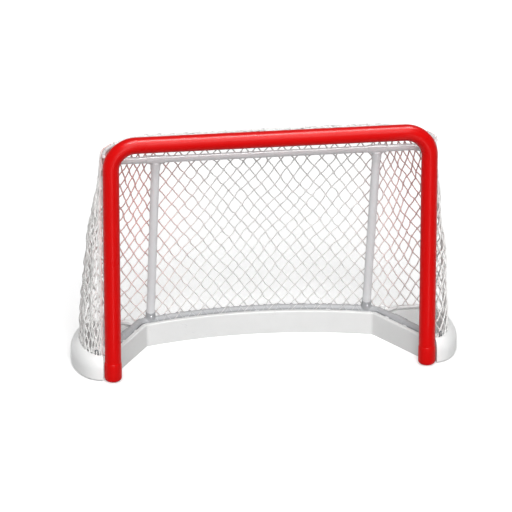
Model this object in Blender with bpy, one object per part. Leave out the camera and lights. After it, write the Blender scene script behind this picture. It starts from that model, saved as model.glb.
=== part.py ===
"""Youth ice hockey goal: a bent red pipe frame, a grey tube base and rear frame, white kick walls and
bumpers, and a net laced to thin rods. Metres, +Z up. X runs across the mouth, +Y runs back into the net.
The goal line is where the posts stand. The goal stands on the floor, centred over the origin.
"""
import math

import bmesh
import bpy
from mathutils import Vector

# Front frame: one pipe, bent twice
OPENING_WIDTH = 1.100
OPENING_HEIGHT = 0.885
PIPE_RADIUS = 0.03015
PIPE_WALL = 0.0029
PIPE_BEND = 0.092
BOOT_WALL = 0.002
BOOT_BELOW_TUBE = 0.0147
BOOT_FLOOR = 0.008
BOOT_EDGE = 0.012
BOOT_LIP = 0.012

# Rear frame
TUBE_RADIUS = 0.0127
TUBE_WALL = 0.0018
RAIL_DROP = 0.10115
RAIL_DEPTH = 0.113
RAIL_BEND = 0.055
REAR_POST_RADIUS = 0.0159
REAR_POST_INSET = 0.17515
SLEEVE_RADIUS = 0.0157
SOCKET_WALL = 0.0022
SOCKET_START = 0.009
SOCKET_LENGTH = 0.045
RAIL_TEE_HALF = 0.034
BASE_TEE_HALF = 0.022
WEB_THICKNESS = 0.011
WEB_INSET = 0.0015

# Base: the kick wall's inner face sets the plan, and the tube follows behind it
TUBE_HEIGHT = 0.0887
WALL_MIDDLE_Y = 0.356
WALL_CORNER_INSET = 0.15715
WALL_CORNER_Y = 0.291
WALL_FRONT_INSET = 0.02015
WALL_FRONT_Y = 0.0627
WALL_CORNER_RADIUS = 0.020
WALL_DROP = 0.0017
WALL_THICKNESS = 0.018
WALL_EDGE = 0.004
ARM_SHIFT = 0.010
ARM_BEND = 0.030
COUPLER_LENGTH = 0.060
COUPLER_FROM_CORNER = 0.110
SADDLE_LENGTH = 0.016
SADDLE_GAP = 3

# Side bows, which flare the foot of the net, and the bumpers outside them
BOW_RADIUS = 0.00635
FLARE_SHIFT = 0.02585
FLARE_Y = 0.170
FLARE_OUT = 0.063
FLARE_FRONT_Y = 0.042
BOW_REAR_BEND = 0.040
BUMPER_REACH = 0.048
BUMPER_RISE = 0.0023
BUMPER_SHOULDER = 0.044
BUMPER_FOOT_EDGE = 0.010
BUMPER_SEAM_SHIFT = 0.055
BUMPER_FRONT_STRAIGHT = 0.012

# Net bow behind the crossbar, and the lacing rods
NET_BOW_RADIUS = 0.006
NET_BOW_DROP = 0.03715
NET_BOW_DEPTH = 0.170
NET_BOW_SQUARENESS = 7.0
NET_BOW_END_Y = 0.004
ROD_RADIUS = 0.004
ROD_STANDOFF = 0.0085
ROD_OUT = 0.0245
ROD_BOTTOM_RISE = 0.0293
ROD_TOP_DROP = 0.12515
ROD_TOP_INSET = 0.12015
PIN_RADIUS = 0.003
PIN_COUNT = 4

# Netting and its lacing
NET_THICKNESS = 0.002
REAR_NET_OFFSET = 0.021
NET_LEAN = 0.0024
NET_TOP_INSET = 0.02515
NET_BAR = 0.006
NET_BACK_OPENINGS = (10, 10)
NET_SIDE_OPENINGS = (5, 10)
NET_TOP_OPENINGS = (12, 2)
NET_LEAST_CELL = 0.003
CORD_RADIUS = 0.00125
LACING_PITCH = 0.090
LACING_POINTS = 8
LACING_CLEAR = 0.012
LACING_GAP = 0.0005

# Fasteners
BOLT_RADIUS = 0.0025
BOLT_HEAD_RADIUS = 0.005
BOLT_HEAD_HEIGHT = 0.003
BOLT_DRIVE_RADIUS = 0.002
STAPLE_WIRE = 0.0016
STAPLE_RISE = 0.019
STAPLE_WIDTH = 0.010
STAPLE_FROM_END = 0.020

# Fits
SEAT = 0.0003
PIPE_SIDES = 20
TUBE_SIDES = 12
ROD_SIDES = 8
CORD_SIDES = 4

# Places that follow from the sizes above
POST_X = OPENING_WIDTH / 2 + PIPE_RADIUS
CROSSBAR_Z = OPENING_HEIGHT + PIPE_RADIUS
NET_BOW_HEIGHT = CROSSBAR_Z - NET_BOW_DROP
NET_TOP_HALF = POST_X - NET_TOP_INSET
RAIL_HEIGHT = CROSSBAR_Z - RAIL_DROP
REAR_POST_X = POST_X - REAR_POST_INSET
WALL_CORNER_X = POST_X - WALL_CORNER_INSET
WALL_FRONT_X = POST_X - WALL_FRONT_INSET
WALL_HEIGHT = TUBE_HEIGHT - WALL_DROP
FLARE_X = POST_X + FLARE_SHIFT
BUMPER_HEIGHT = TUBE_HEIGHT + BUMPER_RISE
BOOT_HEIGHT = TUBE_HEIGHT - BOOT_BELOW_TUBE
BUMPER_SEAM_X = WALL_CORNER_X + BUMPER_SEAM_SHIFT
ROD_BOTTOM = TUBE_HEIGHT + ROD_BOTTOM_RISE
ROD_TOP = CROSSBAR_Z - ROD_TOP_DROP
ROD_TOP_HALF = POST_X - ROD_TOP_INSET
ROD_BEHIND = PIPE_RADIUS + ROD_STANDOFF + ROD_RADIUS
BOOT_RADIUS = PIPE_RADIUS + SEAT + BOOT_WALL
TUBE_OFFSET = WALL_THICKNESS + SEAT + SLEEVE_RADIUS
LACING_STRETCH = 1 / math.cos(math.pi / LACING_POINTS)
NET_LIFT = CORD_RADIUS + SEAT + NET_THICKNESS / 2
BASE_CORD_REACH = (TUBE_RADIUS + LACING_GAP + CORD_RADIUS) * LACING_STRETCH
SIDE_CORD_REACH = (BOW_RADIUS + LACING_GAP + CORD_RADIUS) * LACING_STRETCH
NET_BOW_CORD_REACH = (NET_BOW_RADIUS + LACING_GAP + CORD_RADIUS) * LACING_STRETCH
ROD_CORD_REACH = (ROD_RADIUS + LACING_GAP + CORD_RADIUS) * LACING_STRETCH
SIDE_NET_OFFSET = SIDE_CORD_REACH + NET_LIFT + NET_LEAN
NET_BOW_OFFSET = NET_BOW_CORD_REACH + NET_LIFT + SEAT
WALL_ARC_RADIUS = (WALL_CORNER_X ** 2 + (WALL_MIDDLE_Y - WALL_CORNER_Y) ** 2) / (
    2 * (WALL_MIDDLE_Y - WALL_CORNER_Y))
TUBE_ARC_RADIUS = WALL_ARC_RADIUS + TUBE_OFFSET
ARC_CENTRE_Y = WALL_MIDDLE_Y - WALL_ARC_RADIUS
GOAL_REAR_Y = WALL_MIDDLE_Y + TUBE_OFFSET + BUMPER_REACH
CENTRE_Y = (GOAL_REAR_Y - BOOT_RADIUS) / 2
UP = Vector((0, 0, 1))
BACK = Vector((0, 1, 0))
ACROSS = Vector((1, 0, 0))


def clear_scene():
    for obj in list(bpy.data.objects):
        bpy.data.objects.remove(obj, do_unlink=True)


def finish(name, colour, roughness, metallic):
    """A plain painted, plated or moulded surface."""
    made = bpy.data.materials.new(name)
    made.use_nodes = True
    shader = made.node_tree.nodes["Principled BSDF"]
    shader.inputs["Base Color"].default_value = (*colour, 1)
    shader.inputs["Roughness"].default_value = roughness
    shader.inputs["Metallic"].default_value = metallic
    return made


clear_scene()
GOAL = bpy.data.objects.new("goal", None)
GOAL.location = (0, -CENTRE_Y, 0)
bpy.context.scene.collection.objects.link(GOAL)

RED_PAINT = finish("red_paint", (0.62, 0.006, 0.006), 0.25, 0.0)
RED_BOOT = finish("red_boot", (0.55, 0.006, 0.006), 0.40, 0.0)
GREY_PAINT = finish("grey_paint", (0.55, 0.56, 0.58), 0.40, 0.0)
WHITE_PAINT = finish("white_paint", (0.80, 0.80, 0.80), 0.35, 0.0)
WALL_PLASTIC = finish("wall_plastic", (0.76, 0.76, 0.76), 0.50, 0.0)
BUMPER_VINYL = finish("bumper_vinyl", (0.84, 0.84, 0.83), 0.45, 0.0)
NET_TWINE = finish("net_twine", (0.74, 0.70, 0.67), 0.80, 0.0)
LACING_TWINE = finish("lacing_twine", (0.82, 0.81, 0.79), 0.80, 0.0)
ZINC = finish("zinc", (0.50, 0.51, 0.53), 0.35, 1.0)
DARK_WIRE = finish("dark_wire", (0.08, 0.09, 0.10), 0.45, 1.0)


def place(name, mesh, material, sharp_degrees=40):
    """Puts a closed mesh into the goal's frame, smooth where its faces meet gently."""
    work = bmesh.new()
    work.from_mesh(mesh)
    bmesh.ops.triangulate(work, faces=work.faces)
    bmesh.ops.recalc_face_normals(work, faces=work.faces)
    work.to_mesh(mesh)
    work.free()
    mesh.materials.append(material)
    mesh.shade_smooth()
    mesh.set_sharp_from_angle(angle=math.radians(sharp_degrees))
    obj = bpy.data.objects.new(name, mesh)
    obj.parent = GOAL
    bpy.context.scene.collection.objects.link(obj)
    return obj


def helper(obj):
    """Marks a solid that only cuts or joins another."""
    obj.hide_render = True
    obj.display_type = "WIRE"
    return obj


def combine(obj, other, operation):
    step = obj.modifiers.new(other.name, "BOOLEAN")
    step.operation = operation
    step.object = helper(other)


def circle(radius, sides, first=0.0):
    """An even polygon in place of a circle. first turns it by that share of a side."""
    turns = [2 * math.pi * (i + first) / sides for i in range(sides)]
    return [(radius * math.cos(turn), radius * math.sin(turn)) for turn in turns]


def rounded(corners, radii, steps=5):
    """A path through the corners, each one turned into an arc of its own radius."""
    path = [corners[0]]
    for before, corner, after, radius in zip(corners, corners[1:], corners[2:], radii):
        a = (before - corner).normalized()
        b = (after - corner).normalized()
        half = a.angle(b) / 2
        start = corner + a * radius / math.tan(half)
        end = corner + b * radius / math.tan(half)
        centre = corner + (a + b).normalized() * radius / math.sin(half)
        for i in range(steps + 1):
            arm = (start - centre).slerp(end - centre, i / steps)
            path.append(centre + arm.normalized() * radius)
    return path + [corners[-1]]


def directions(path):
    """The way the path runs at each of its points."""
    ahead = [(b - a).normalized() for a, b in zip(path, path[1:])]
    inner = [(a + b).normalized() for a, b in zip(ahead, ahead[1:])]
    return [ahead[0]] + inner + [ahead[-1]]


def offset(path, distance):
    """A level path moved sideways, to the left of the way it runs."""
    moved = []
    for point, ahead in zip(path, directions(path)):
        moved.append(point + UP.cross(ahead) * distance)
    return moved


def mirrored(points):
    return [Vector((-p.x, p.y, p.z)) for p in points]


def run_lengths(path):
    lengths = [0.0]
    for a, b in zip(path, path[1:]):
        lengths.append(lengths[-1] + (b - a).length)
    return lengths


def at_length(path, along):
    """The point at a length along the path, and the way it runs there."""
    lengths = run_lengths(path)
    for i in range(len(path) - 1):
        if along <= lengths[i + 1] or i == len(path) - 2:
            ahead = (path[i + 1] - path[i]).normalized()
            return path[i] + ahead * (along - lengths[i]), ahead


def part_of(path, start, end):
    """The stretch of a path between two lengths along it."""
    lengths = run_lengths(path)
    kept = [p for p, along in zip(path, lengths) if start + 1e-4 < along < end - 1e-4]
    return [at_length(path, start)[0]] + kept + [at_length(path, end)[0]]


def frames(path, level=None):
    """Two directions across the path at each point, kept to a fixed one or turned as little as possible."""
    found = []
    ahead = directions(path)
    across = level or ahead[0].orthogonal().normalized()
    for i, way in enumerate(ahead):
        if level is None and i:
            across = ahead[i - 1].rotation_difference(way) @ across
        side = way.cross(across).normalized()
        found.append((side, side.cross(way).normalized()))
    return found


def sweep(name, path, outline, material, level=None, bore=None):
    """One closed solid: the outline carried along the path, with a bore through it if one is given."""
    mesh = bpy.data.meshes.new(name)
    rows = frames(path, level)
    points = []
    faces = []

    def skin(shape):
        first = len(points)
        for point, (side, up) in zip(path, rows):
            points.extend(point + side * u + up * v for u, v in shape)
        count = len(shape)
        for row in range(len(path) - 1):
            for i in range(count):
                a = first + row * count + i
                b = first + row * count + (i + 1) % count
                faces.append((a, b, b + count, a + count))
        return first, first + (len(path) - 1) * count

    outer = skin(outline)
    if bore is None:
        for first in outer:
            faces.append(tuple(range(first, first + len(outline))))
    else:
        inner = skin(bore)
        for out_first, in_first in zip(outer, inner):
            for i in range(len(outline)):
                j = (i + 1) % len(outline)
                faces.append((out_first + i, out_first + j, in_first + j, in_first + i))
    mesh.from_pydata(points, [], faces)
    return place(name, mesh, material)


def tube(name, path, radius, wall, material, level, sides=TUBE_SIDES):
    return sweep(name, path, circle(radius, sides), material, level, circle(radius - wall, sides))


def rod(name, path, radius, material, level=None, sides=ROD_SIDES):
    return sweep(name, path, circle(radius, sides), material, level)


def turned(name, base, axis, profile, material, sides):
    """A solid turned about an axis. The profile is (radius, height) pairs, from the axis and back to it."""
    mesh = bpy.data.meshes.new(name)
    side = (ACROSS - axis * ACROSS.dot(axis)).normalized()
    up = axis.cross(side)
    points = [base + axis * profile[0][1], base + axis * profile[-1][1]]
    faces = []
    rings = profile[1:-1]
    for radius, height in rings:
        for u, v in circle(radius, sides):
            points.append(base + axis * height + side * u + up * v)
    for ring in range(len(rings) - 1):
        for i in range(sides):
            a = 2 + ring * sides + i
            b = 2 + ring * sides + (i + 1) % sides
            faces.append((a, b, b + sides, a + sides))
    last = 2 + (len(rings) - 1) * sides
    for i in range(sides):
        j = (i + 1) % sides
        faces.append((0, 2 + i, 2 + j))
        faces.append((1, last + i, last + j))
    mesh.from_pydata(points, [], faces)
    return place(name, mesh, material)


def quarter(centre, size, first_degrees, last_degrees, steps):
    """Points on an upright or level ellipse's arc, as (u, v) pairs."""
    found = []
    for i in range(steps + 1):
        turn = math.radians(first_degrees + (last_degrees - first_degrees) * i / steps)
        found.append((centre[0] + size[0] * math.cos(turn), centre[1] + size[1] * math.sin(turn)))
    return found


# Front frame

def front_frame():
    foot = BOOT_FLOOR + SEAT
    corners = [Vector((-POST_X, 0, foot)), Vector((-POST_X, 0, CROSSBAR_Z)),
               Vector((POST_X, 0, CROSSBAR_Z)), Vector((POST_X, 0, foot))]
    path = rounded(corners, [PIPE_BEND, PIPE_BEND], steps=7)
    tube("front_frame", path, PIPE_RADIUS, PIPE_WALL, RED_PAINT, BACK, PIPE_SIDES)


def post_boot(side, x):
    bore = PIPE_RADIUS + SEAT
    profile = [(0, 0)]
    profile += quarter((BOOT_RADIUS - BOOT_EDGE, BOOT_EDGE), (BOOT_EDGE, BOOT_EDGE), -90, 0, 4)
    profile += [(BOOT_RADIUS, BOOT_HEIGHT - BOOT_LIP), (bore + BOOT_WALL / 3, BOOT_HEIGHT)]
    profile += [(bore, BOOT_HEIGHT), (bore, BOOT_FLOOR), (0, BOOT_FLOOR)]
    turned(f"post_boot_{side}", Vector((x, 0, 0)), UP, profile, RED_BOOT, PIPE_SIDES)


# Plan of the base, each line running from left to right

def wall_line():
    """The kick wall's inner face: straight sides, tight corners and a wide arc across the back."""
    steps = 9
    reach = math.asin(WALL_CORNER_X / WALL_ARC_RADIUS)
    arc = []
    for i in range(steps + 1):
        turn = reach * (2 * i / steps - 1)
        y = ARC_CENTRE_Y + WALL_ARC_RADIUS * math.cos(turn)
        arc.append(Vector((WALL_ARC_RADIUS * math.sin(turn), y, 0)))
    left = Vector((-WALL_FRONT_X, WALL_FRONT_Y, 0))
    right = Vector((WALL_FRONT_X, WALL_FRONT_Y, 0))
    bends = [WALL_CORNER_RADIUS] + [0.0] * (steps - 1) + [WALL_CORNER_RADIUS]
    corners = [left] + arc + [right]
    path = [left]
    for i, bend in enumerate(bends):
        piece = corners[i:i + 3]
        path += rounded(piece, [bend], steps=4)[1:-1] if bend else [piece[1]]
    return path + [right]


def lifted(path, height):
    return [Vector((p.x, p.y, height)) for p in path]


def tube_line():
    """The base tube's axis, behind the wall, with its two ends led forward to the backs of the posts."""
    behind = lifted(offset(wall_line(), TUBE_OFFSET), TUBE_HEIGHT)
    ends = Vector((POST_X + ARM_SHIFT, PIPE_RADIUS + SEAT, TUBE_HEIGHT))
    right = rounded([behind[-2], behind[-1], ends], [ARM_BEND], steps=3)[1:]
    left = mirrored(right)[::-1]
    return left + behind[1:-1] + right


def rear_tube_y(x):
    return ARC_CENTRE_Y + math.sqrt(TUBE_ARC_RADIUS ** 2 - x ** 2)


def flare(margin, steps=7):
    """The right side bow's line from its rear to the post, or a line outside it by the margin."""
    rear_y = rear_tube_y(WALL_CORNER_X)
    size_rear = (FLARE_OUT + margin, rear_y - FLARE_Y + margin)
    size_front = (FLARE_OUT + margin, FLARE_Y - FLARE_FRONT_Y + margin)
    rear = quarter((FLARE_X, FLARE_Y), size_rear, 90, 0, steps)
    front = quarter((FLARE_X, FLARE_Y), size_front, 0, -90, steps)
    return [Vector((u, v, 0)) for u, v in rear + front[1:]]


def corner_length(path):
    """How far along the base tube its right rear corner ends."""
    lengths = run_lengths(path)
    turn = [p for p in zip(path, lengths) if p[0].x > WALL_CORNER_X and p[0].y > WALL_CORNER_Y]
    return turn[-1][1]


# Rear frame

def rear_rail():
    corners = [Vector((-POST_X, PIPE_RADIUS + SEAT, RAIL_HEIGHT)), Vector((-POST_X, RAIL_DEPTH, RAIL_HEIGHT)),
               Vector((POST_X, RAIL_DEPTH, RAIL_HEIGHT)), Vector((POST_X, PIPE_RADIUS + SEAT, RAIL_HEIGHT))]
    tube("rear_rail", rounded(corners, [RAIL_BEND, RAIL_BEND]), TUBE_RADIUS, TUBE_WALL, GREY_PAINT, UP)


def rear_post_ends(x):
    """Where the rear post's axis meets the base tube's and the rail's, and the ways it and the tube run."""
    path = tube_line()
    for a, b in zip(path, path[1:]):
        if a.x <= x < b.x:
            low = a.lerp(b, (x - a.x) / (b.x - a.x))
            along = (b - a).normalized()
    high = Vector((x, RAIL_DEPTH, RAIL_HEIGHT))
    return low, high, (high - low).normalized(), along


def rear_post(side, x):
    low, high, rise, _ = rear_post_ends(x)
    inset = SLEEVE_RADIUS + SEAT
    path = [low + rise * inset, high - rise * inset]
    tube(f"rear_post_{side}", path, REAR_POST_RADIUS, TUBE_WALL, GREY_PAINT, ACROSS)


def web_outline(half):
    """The filleted web of a tee, as (along the sleeve, along the socket) pairs, let a little into both."""
    end = half - WEB_INSET
    foot = SLEEVE_RADIUS - WEB_INSET
    fillet = end - REAR_POST_RADIUS - WEB_INSET
    right = quarter((end, foot + fillet), (fillet, fillet), -90, -180, 4)
    left = [(-u, v) for u, v in right[::-1]]
    return [(-end, WEB_INSET), (end, WEB_INSET)] + right + left


def tee(name, centre, along, post_way, half, bolt_way):
    """A cast sleeve on a tube, with a filleted socket for the rear post and a bolt in the socket."""
    socket_radius = REAR_POST_RADIUS + SEAT + SOCKET_WALL
    across = along.cross(post_way).normalized()
    body = rod(name, [centre - along * half, centre + along * half], SLEEVE_RADIUS, GREY_PAINT, across, 16)
    socket_path = [centre + post_way * SOCKET_START, centre + post_way * SOCKET_LENGTH]
    socket = rod(f"{name}_socket", socket_path, socket_radius, GREY_PAINT, across, 16)
    web_path = [centre - across * WEB_THICKNESS / 2, centre + across * WEB_THICKNESS / 2]
    outline = [(-u, v) for u, v in web_outline(half)]
    web = sweep(f"{name}_web", web_path, outline, GREY_PAINT, across.cross(along))
    tube_bore_path = [centre - along * 2 * half, centre + along * 2 * half]
    tube_bore = rod(f"{name}_tube_bore", tube_bore_path, TUBE_RADIUS + SEAT, GREY_PAINT, across, 16)
    post_bore_path = [centre + post_way * (SLEEVE_RADIUS - SEAT), centre + post_way * 2 * SOCKET_LENGTH]
    post_bore = rod(f"{name}_post_bore", post_bore_path, REAR_POST_RADIUS + SEAT, GREY_PAINT, across, 16)
    bolt_at = centre + post_way * (SOCKET_LENGTH + SLEEVE_RADIUS) / 2
    out = (bolt_way - post_way * bolt_way.dot(post_way)).normalized()
    hole = bolt_hole(f"{name}_bolt_hole", bolt_at, out, socket_radius)
    combine(body, web, "UNION")
    combine(body, socket, "UNION")
    for cutter in (tube_bore, post_bore, hole):
        combine(body, cutter, "DIFFERENCE")
    set_bolt(f"{name}_bolt", bolt_at, out, socket_radius, REAR_POST_RADIUS)


def bolt_hole(name, centre, out, seat_radius):
    """The cutter for a bolt's hole through one wall of a sleeve."""
    path = [centre, centre + out * 2 * seat_radius]
    return sweep(name, path, circle(BOLT_RADIUS + SEAT, ROD_SIDES, 0.5), GREY_PAINT, UP.cross(out).normalized())


def set_bolt(name, centre, out, seat_radius, tip_radius):
    """A button-head bolt, screwed through a sleeve's wall up to the tube inside it."""
    tip = tip_radius + 2 * SEAT
    seat = seat_radius + 2 * SEAT
    top = seat + BOLT_HEAD_HEIGHT
    profile = [(0, tip), (BOLT_RADIUS, tip), (BOLT_RADIUS, seat), (BOLT_HEAD_RADIUS, seat),
               (BOLT_HEAD_RADIUS * 0.75, top), (BOLT_DRIVE_RADIUS, top),
               (BOLT_DRIVE_RADIUS, top - BOLT_HEAD_HEIGHT / 2), (0, top - BOLT_HEAD_HEIGHT / 2)]
    turned(name, centre, out, profile, ZINC, ROD_SIDES)


# Base frame

def base_tubes():
    """The base tube in three lengths, and the couplers that join them."""
    path = tube_line()
    total = run_lengths(path)[-1]
    joint = corner_length(path) + COUPLER_FROM_CORNER
    spans = {"left": (0, total - joint - SEAT / 2), "rear": (total - joint + SEAT / 2, joint - SEAT / 2),
             "right": (joint + SEAT / 2, total)}
    for side, (start, end) in spans.items():
        tube(f"base_tube_{side}", part_of(path, start, end), TUBE_RADIUS, TUBE_WALL, GREY_PAINT, UP)
    for side, middle, way in (("left", total - joint, -1), ("right", joint, 1)):
        centre, ahead = at_length(path, middle)
        half = ahead * COUPLER_LENGTH / 2
        coupler = tube(f"base_coupler_{side}", [centre - half, centre + half], SLEEVE_RADIUS,
                       SLEEVE_RADIUS - TUBE_RADIUS - SEAT, GREY_PAINT, UP)
        out = UP.cross(ahead).normalized()
        for place_name, shift in (("front", way * 0.5), ("rear", way * -0.5)):
            bolt_at = centre + half * shift
            hole = bolt_hole(f"base_coupler_{side}_{place_name}_hole", bolt_at, out, SLEEVE_RADIUS)
            combine(coupler, hole, "DIFFERENCE")
            set_bolt(f"coupler_bolt_{side}_{place_name}", bolt_at, out, SLEEVE_RADIUS, TUBE_RADIUS)


def kick_walls():
    """Three boards, with seams where the rear posts stand."""
    path = wall_line()
    lengths = run_lengths(path)
    total = lengths[-1]
    seam = [along for p, along in zip(path, lengths) if p.x > WALL_CORNER_X - WALL_CORNER_RADIUS][0]
    spans = {"left": (0, total - seam - SEAT), "rear": (total - seam, seam), "right": (seam + SEAT, total)}
    back = -WALL_THICKNESS
    outline = [(0, SEAT), (0, WALL_HEIGHT - WALL_EDGE), (-WALL_EDGE, WALL_HEIGHT),
               (back + WALL_EDGE / 2, WALL_HEIGHT), (back, WALL_HEIGHT - WALL_EDGE / 2), (back, SEAT)]
    for side, (start, end) in spans.items():
        sweep(f"kick_wall_{side}", part_of(path, start, end), outline, WALL_PLASTIC, UP)


def wall_saddle(name, along):
    """A wedge under the base tube's inner side, against the back of the kick wall."""
    centre, ahead = at_length(tube_line(), along)
    bore = TUBE_RADIUS + SEAT
    foot = -SLEEVE_RADIUS
    top = WALL_HEIGHT - TUBE_HEIGHT - SEAT
    start = 180 - math.degrees(math.asin(top / bore))
    seat = quarter((0, 0), (bore, bore), start, 260, 5)
    outline = [(SLEEVE_RADIUS, foot), (SLEEVE_RADIUS, top)] + [(-u, v) for u, v in seat]
    outline.append((-seat[-1][0], foot))
    half = ahead * SADDLE_LENGTH / 2
    sweep(name, [centre - half, centre + half], outline, GREY_PAINT, UP)


def wall_saddles():
    path = tube_line()
    total = run_lengths(path)[-1]
    corner = corner_length(path)
    step = SADDLE_GAP * LACING_PITCH
    for side, shift in (("left", -step), ("middle", 0), ("right", step)):
        wall_saddle(f"wall_saddle_rear_{side}", total / 2 + shift)
    coupler_end = COUPLER_FROM_CORNER + COUPLER_LENGTH / 2 + SADDLE_LENGTH
    for place_name, along in (("rear", corner + COUPLER_FROM_CORNER / 2), ("front", corner + coupler_end)):
        wall_saddle(f"wall_saddle_right_{place_name}", along)
        wall_saddle(f"wall_saddle_left_{place_name}", total - along)


# Side bows and bumpers

def side_bow_line():
    """The right side bow, from the base tube near the rear corner round to its front end on the same tube."""
    path = tube_line()
    root, ahead = at_length(path, corner_length(path) + 2 * BOW_RADIUS)
    out = UP.cross(ahead).normalized()
    start = root + out * (TUBE_RADIUS + SEAT)
    curve = lifted(flare(0), TUBE_HEIGHT)
    rise = (curve[0].y - start.y) / out.y
    bend = start + out * rise
    rear = rounded([start, bend, curve[0]], [BOW_REAR_BEND], steps=4)[:-1]
    arm_x = POST_X + ARM_SHIFT + TUBE_RADIUS + 2 * SEAT
    return rear + curve[:-1] + [Vector((FLARE_X, FLARE_FRONT_Y, TUBE_HEIGHT)),
                                Vector((arm_x, FLARE_FRONT_Y, TUBE_HEIGHT))]


def side_bows():
    right = side_bow_line()
    rod("side_bow_right", right, BOW_RADIUS, WHITE_PAINT, UP)
    rod("side_bow_left", mirrored(right), BOW_RADIUS, WHITE_PAINT, UP)


def bumper_outline(ledge, inner, face):
    """A rounded section with a rebate for the tube. u runs outward from the tube's axis, v up."""
    crown = quarter((face, BUMPER_SHOULDER), (BUMPER_REACH - face, BUMPER_HEIGHT - BUMPER_SHOULDER), 90, 0, 5)
    foot = quarter((BUMPER_REACH - BUMPER_FOOT_EDGE, BUMPER_FOOT_EDGE),
                   (BUMPER_FOOT_EDGE, BUMPER_FOOT_EDGE), 0, -90, 2)
    return [(-inner, 0), (-inner, ledge), (face, ledge)] + crown + foot


def bumper_line():
    """The bumpers' line for the right half, from the middle of the back to the post."""
    steps = 8
    arc = []
    for i in range(steps):
        x = WALL_CORNER_X * i / steps
        arc.append(Vector((x, rear_tube_y(x), 0)))
    bend = Vector((WALL_CORNER_X, rear_tube_y(WALL_CORNER_X), 0))
    return arc + [bend] + flare(0)


def bumpers():
    rear_ledge = TUBE_HEIGHT - BASE_CORD_REACH - CORD_RADIUS - SEAT
    side_ledge = TUBE_HEIGHT - SIDE_CORD_REACH - CORD_RADIUS - SEAT
    rear_face = REAR_NET_OFFSET + NET_THICKNESS / 2 + SEAT
    side_face = SIDE_NET_OFFSET + NET_THICKNESS / 2 + SEAT
    half = bumper_line()
    lengths = run_lengths(half)
    bend_length = [along for p, along in zip(half, lengths) if p.x >= WALL_CORNER_X][0]
    seam = bend_length + BUMPER_SEAM_X - WALL_CORNER_X
    to_seam = part_of(half, 0, seam - SEAT)
    across = mirrored(to_seam[1:])[::-1] + to_seam
    side = part_of(half, seam + SEAT, lengths[-1])
    front = Vector((POST_X + BOOT_RADIUS + 4 * SEAT, FLARE_FRONT_Y, 0))
    straight = front + ACROSS * BUMPER_FRONT_STRAIGHT
    side = [p for p in side if p.x > straight.x + 2 * SEAT or p.y > FLARE_Y] + [straight, front]
    rear_outline = bumper_outline(rear_ledge, SLEEVE_RADIUS, rear_face)
    side_outline = bumper_outline(side_ledge, SIDE_CORD_REACH + CORD_RADIUS, side_face)
    sweep("bumper_rear", across, [(-u, v) for u, v in rear_outline], BUMPER_VINYL, UP)
    sweep("bumper_right", side, [(-u, v) for u, v in side_outline], BUMPER_VINYL, UP)
    sweep("bumper_left", mirrored(side), side_outline, BUMPER_VINYL, UP)


# Net bow and lacing rods

def net_bow_half_width():
    """Where the bow's end lies against the outside of the pipe's bend."""
    bend_x = POST_X - PIPE_BEND
    bend_z = CROSSBAR_Z - PIPE_BEND
    gap = PIPE_RADIUS + NET_BOW_RADIUS + SEAT
    reach = PIPE_BEND + math.sqrt(gap ** 2 - NET_BOW_END_Y ** 2)
    return bend_x + math.sqrt(reach ** 2 - (NET_BOW_HEIGHT - bend_z) ** 2)


def net_bow_line(out=0.0, start_y=NET_BOW_END_Y, steps=13):
    """Half of a squared-off ellipse, from the right end to the middle, or a line outside it."""
    width = net_bow_half_width()
    path = []
    first = math.asin(min(1.0, start_y / NET_BOW_DEPTH))
    for i in range(steps + 1):
        turn = first + (math.pi / 2 - first) * i / steps
        y = NET_BOW_DEPTH * math.sin(turn)
        x = width * math.cos(turn) ** (2 / NET_BOW_SQUARENESS) if i < steps else 0.0
        path.append(Vector((x, y, NET_BOW_HEIGHT)))
    whole = path + mirrored(path[:-1])[::-1]
    return offset(whole, -out)[:steps + 1] if out else path


def net_bow_y(x):
    return NET_BOW_DEPTH * math.sqrt(1 - (abs(x) / net_bow_half_width()) ** NET_BOW_SQUARENESS)


def net_bow():
    right = net_bow_line()
    rod("net_bow", right + mirrored(right[:-1])[::-1], NET_BOW_RADIUS, WHITE_PAINT, UP)


def rod_place():
    """The right lacing rod's axis in plan: outside and behind the post."""
    return Vector((POST_X + ROD_OUT, math.sqrt(ROD_BEHIND ** 2 - ROD_OUT ** 2), 0))


def pinned_rod(name, low, high, towards, shifts):
    """A thin rod with short pins that hold it off the pipe."""
    body = rod(name, [low, high], ROD_RADIUS, WHITE_PAINT, towards)
    for number, shift in enumerate(shifts):
        foot = low + (high - low).normalized() * shift
        pin = rod(f"{name}_pin_{number}", [foot, foot + towards * (ROD_RADIUS + ROD_STANDOFF - SEAT)],
                  PIN_RADIUS, WHITE_PAINT)
        combine(body, pin, "UNION")


def pin_shifts(length, count):
    """Places for the pins, each on the far side of the rod from the lacing."""
    turns = length / LACING_PITCH
    chosen = [round((i + 0.5) * turns / count - 0.5) + 0.5 for i in range(count)]
    return [turn * LACING_PITCH for turn in chosen]


def lacing_rods():
    spot = rod_place()
    low = Vector((spot.x, spot.y, ROD_BOTTOM))
    high = Vector((spot.x, spot.y, ROD_TOP))
    towards = Vector((POST_X - spot.x, -spot.y, 0)).normalized()
    shifts = pin_shifts(ROD_TOP - ROD_BOTTOM, PIN_COUNT)
    pinned_rod("lacing_rod_right", low, high, towards, shifts)
    mirrored_low, mirrored_high, mirrored_way = mirrored([low, high, towards])
    pinned_rod("lacing_rod_left", mirrored_low, mirrored_high, mirrored_way, shifts)
    left = Vector((-ROD_TOP_HALF, ROD_BEHIND, CROSSBAR_Z))
    right = Vector((ROD_TOP_HALF, ROD_BEHIND, CROSSBAR_Z))
    pinned_rod("lacing_rod_top", left, right, -BACK, pin_shifts(2 * ROD_TOP_HALF, PIN_COUNT))


# Net panels

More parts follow.
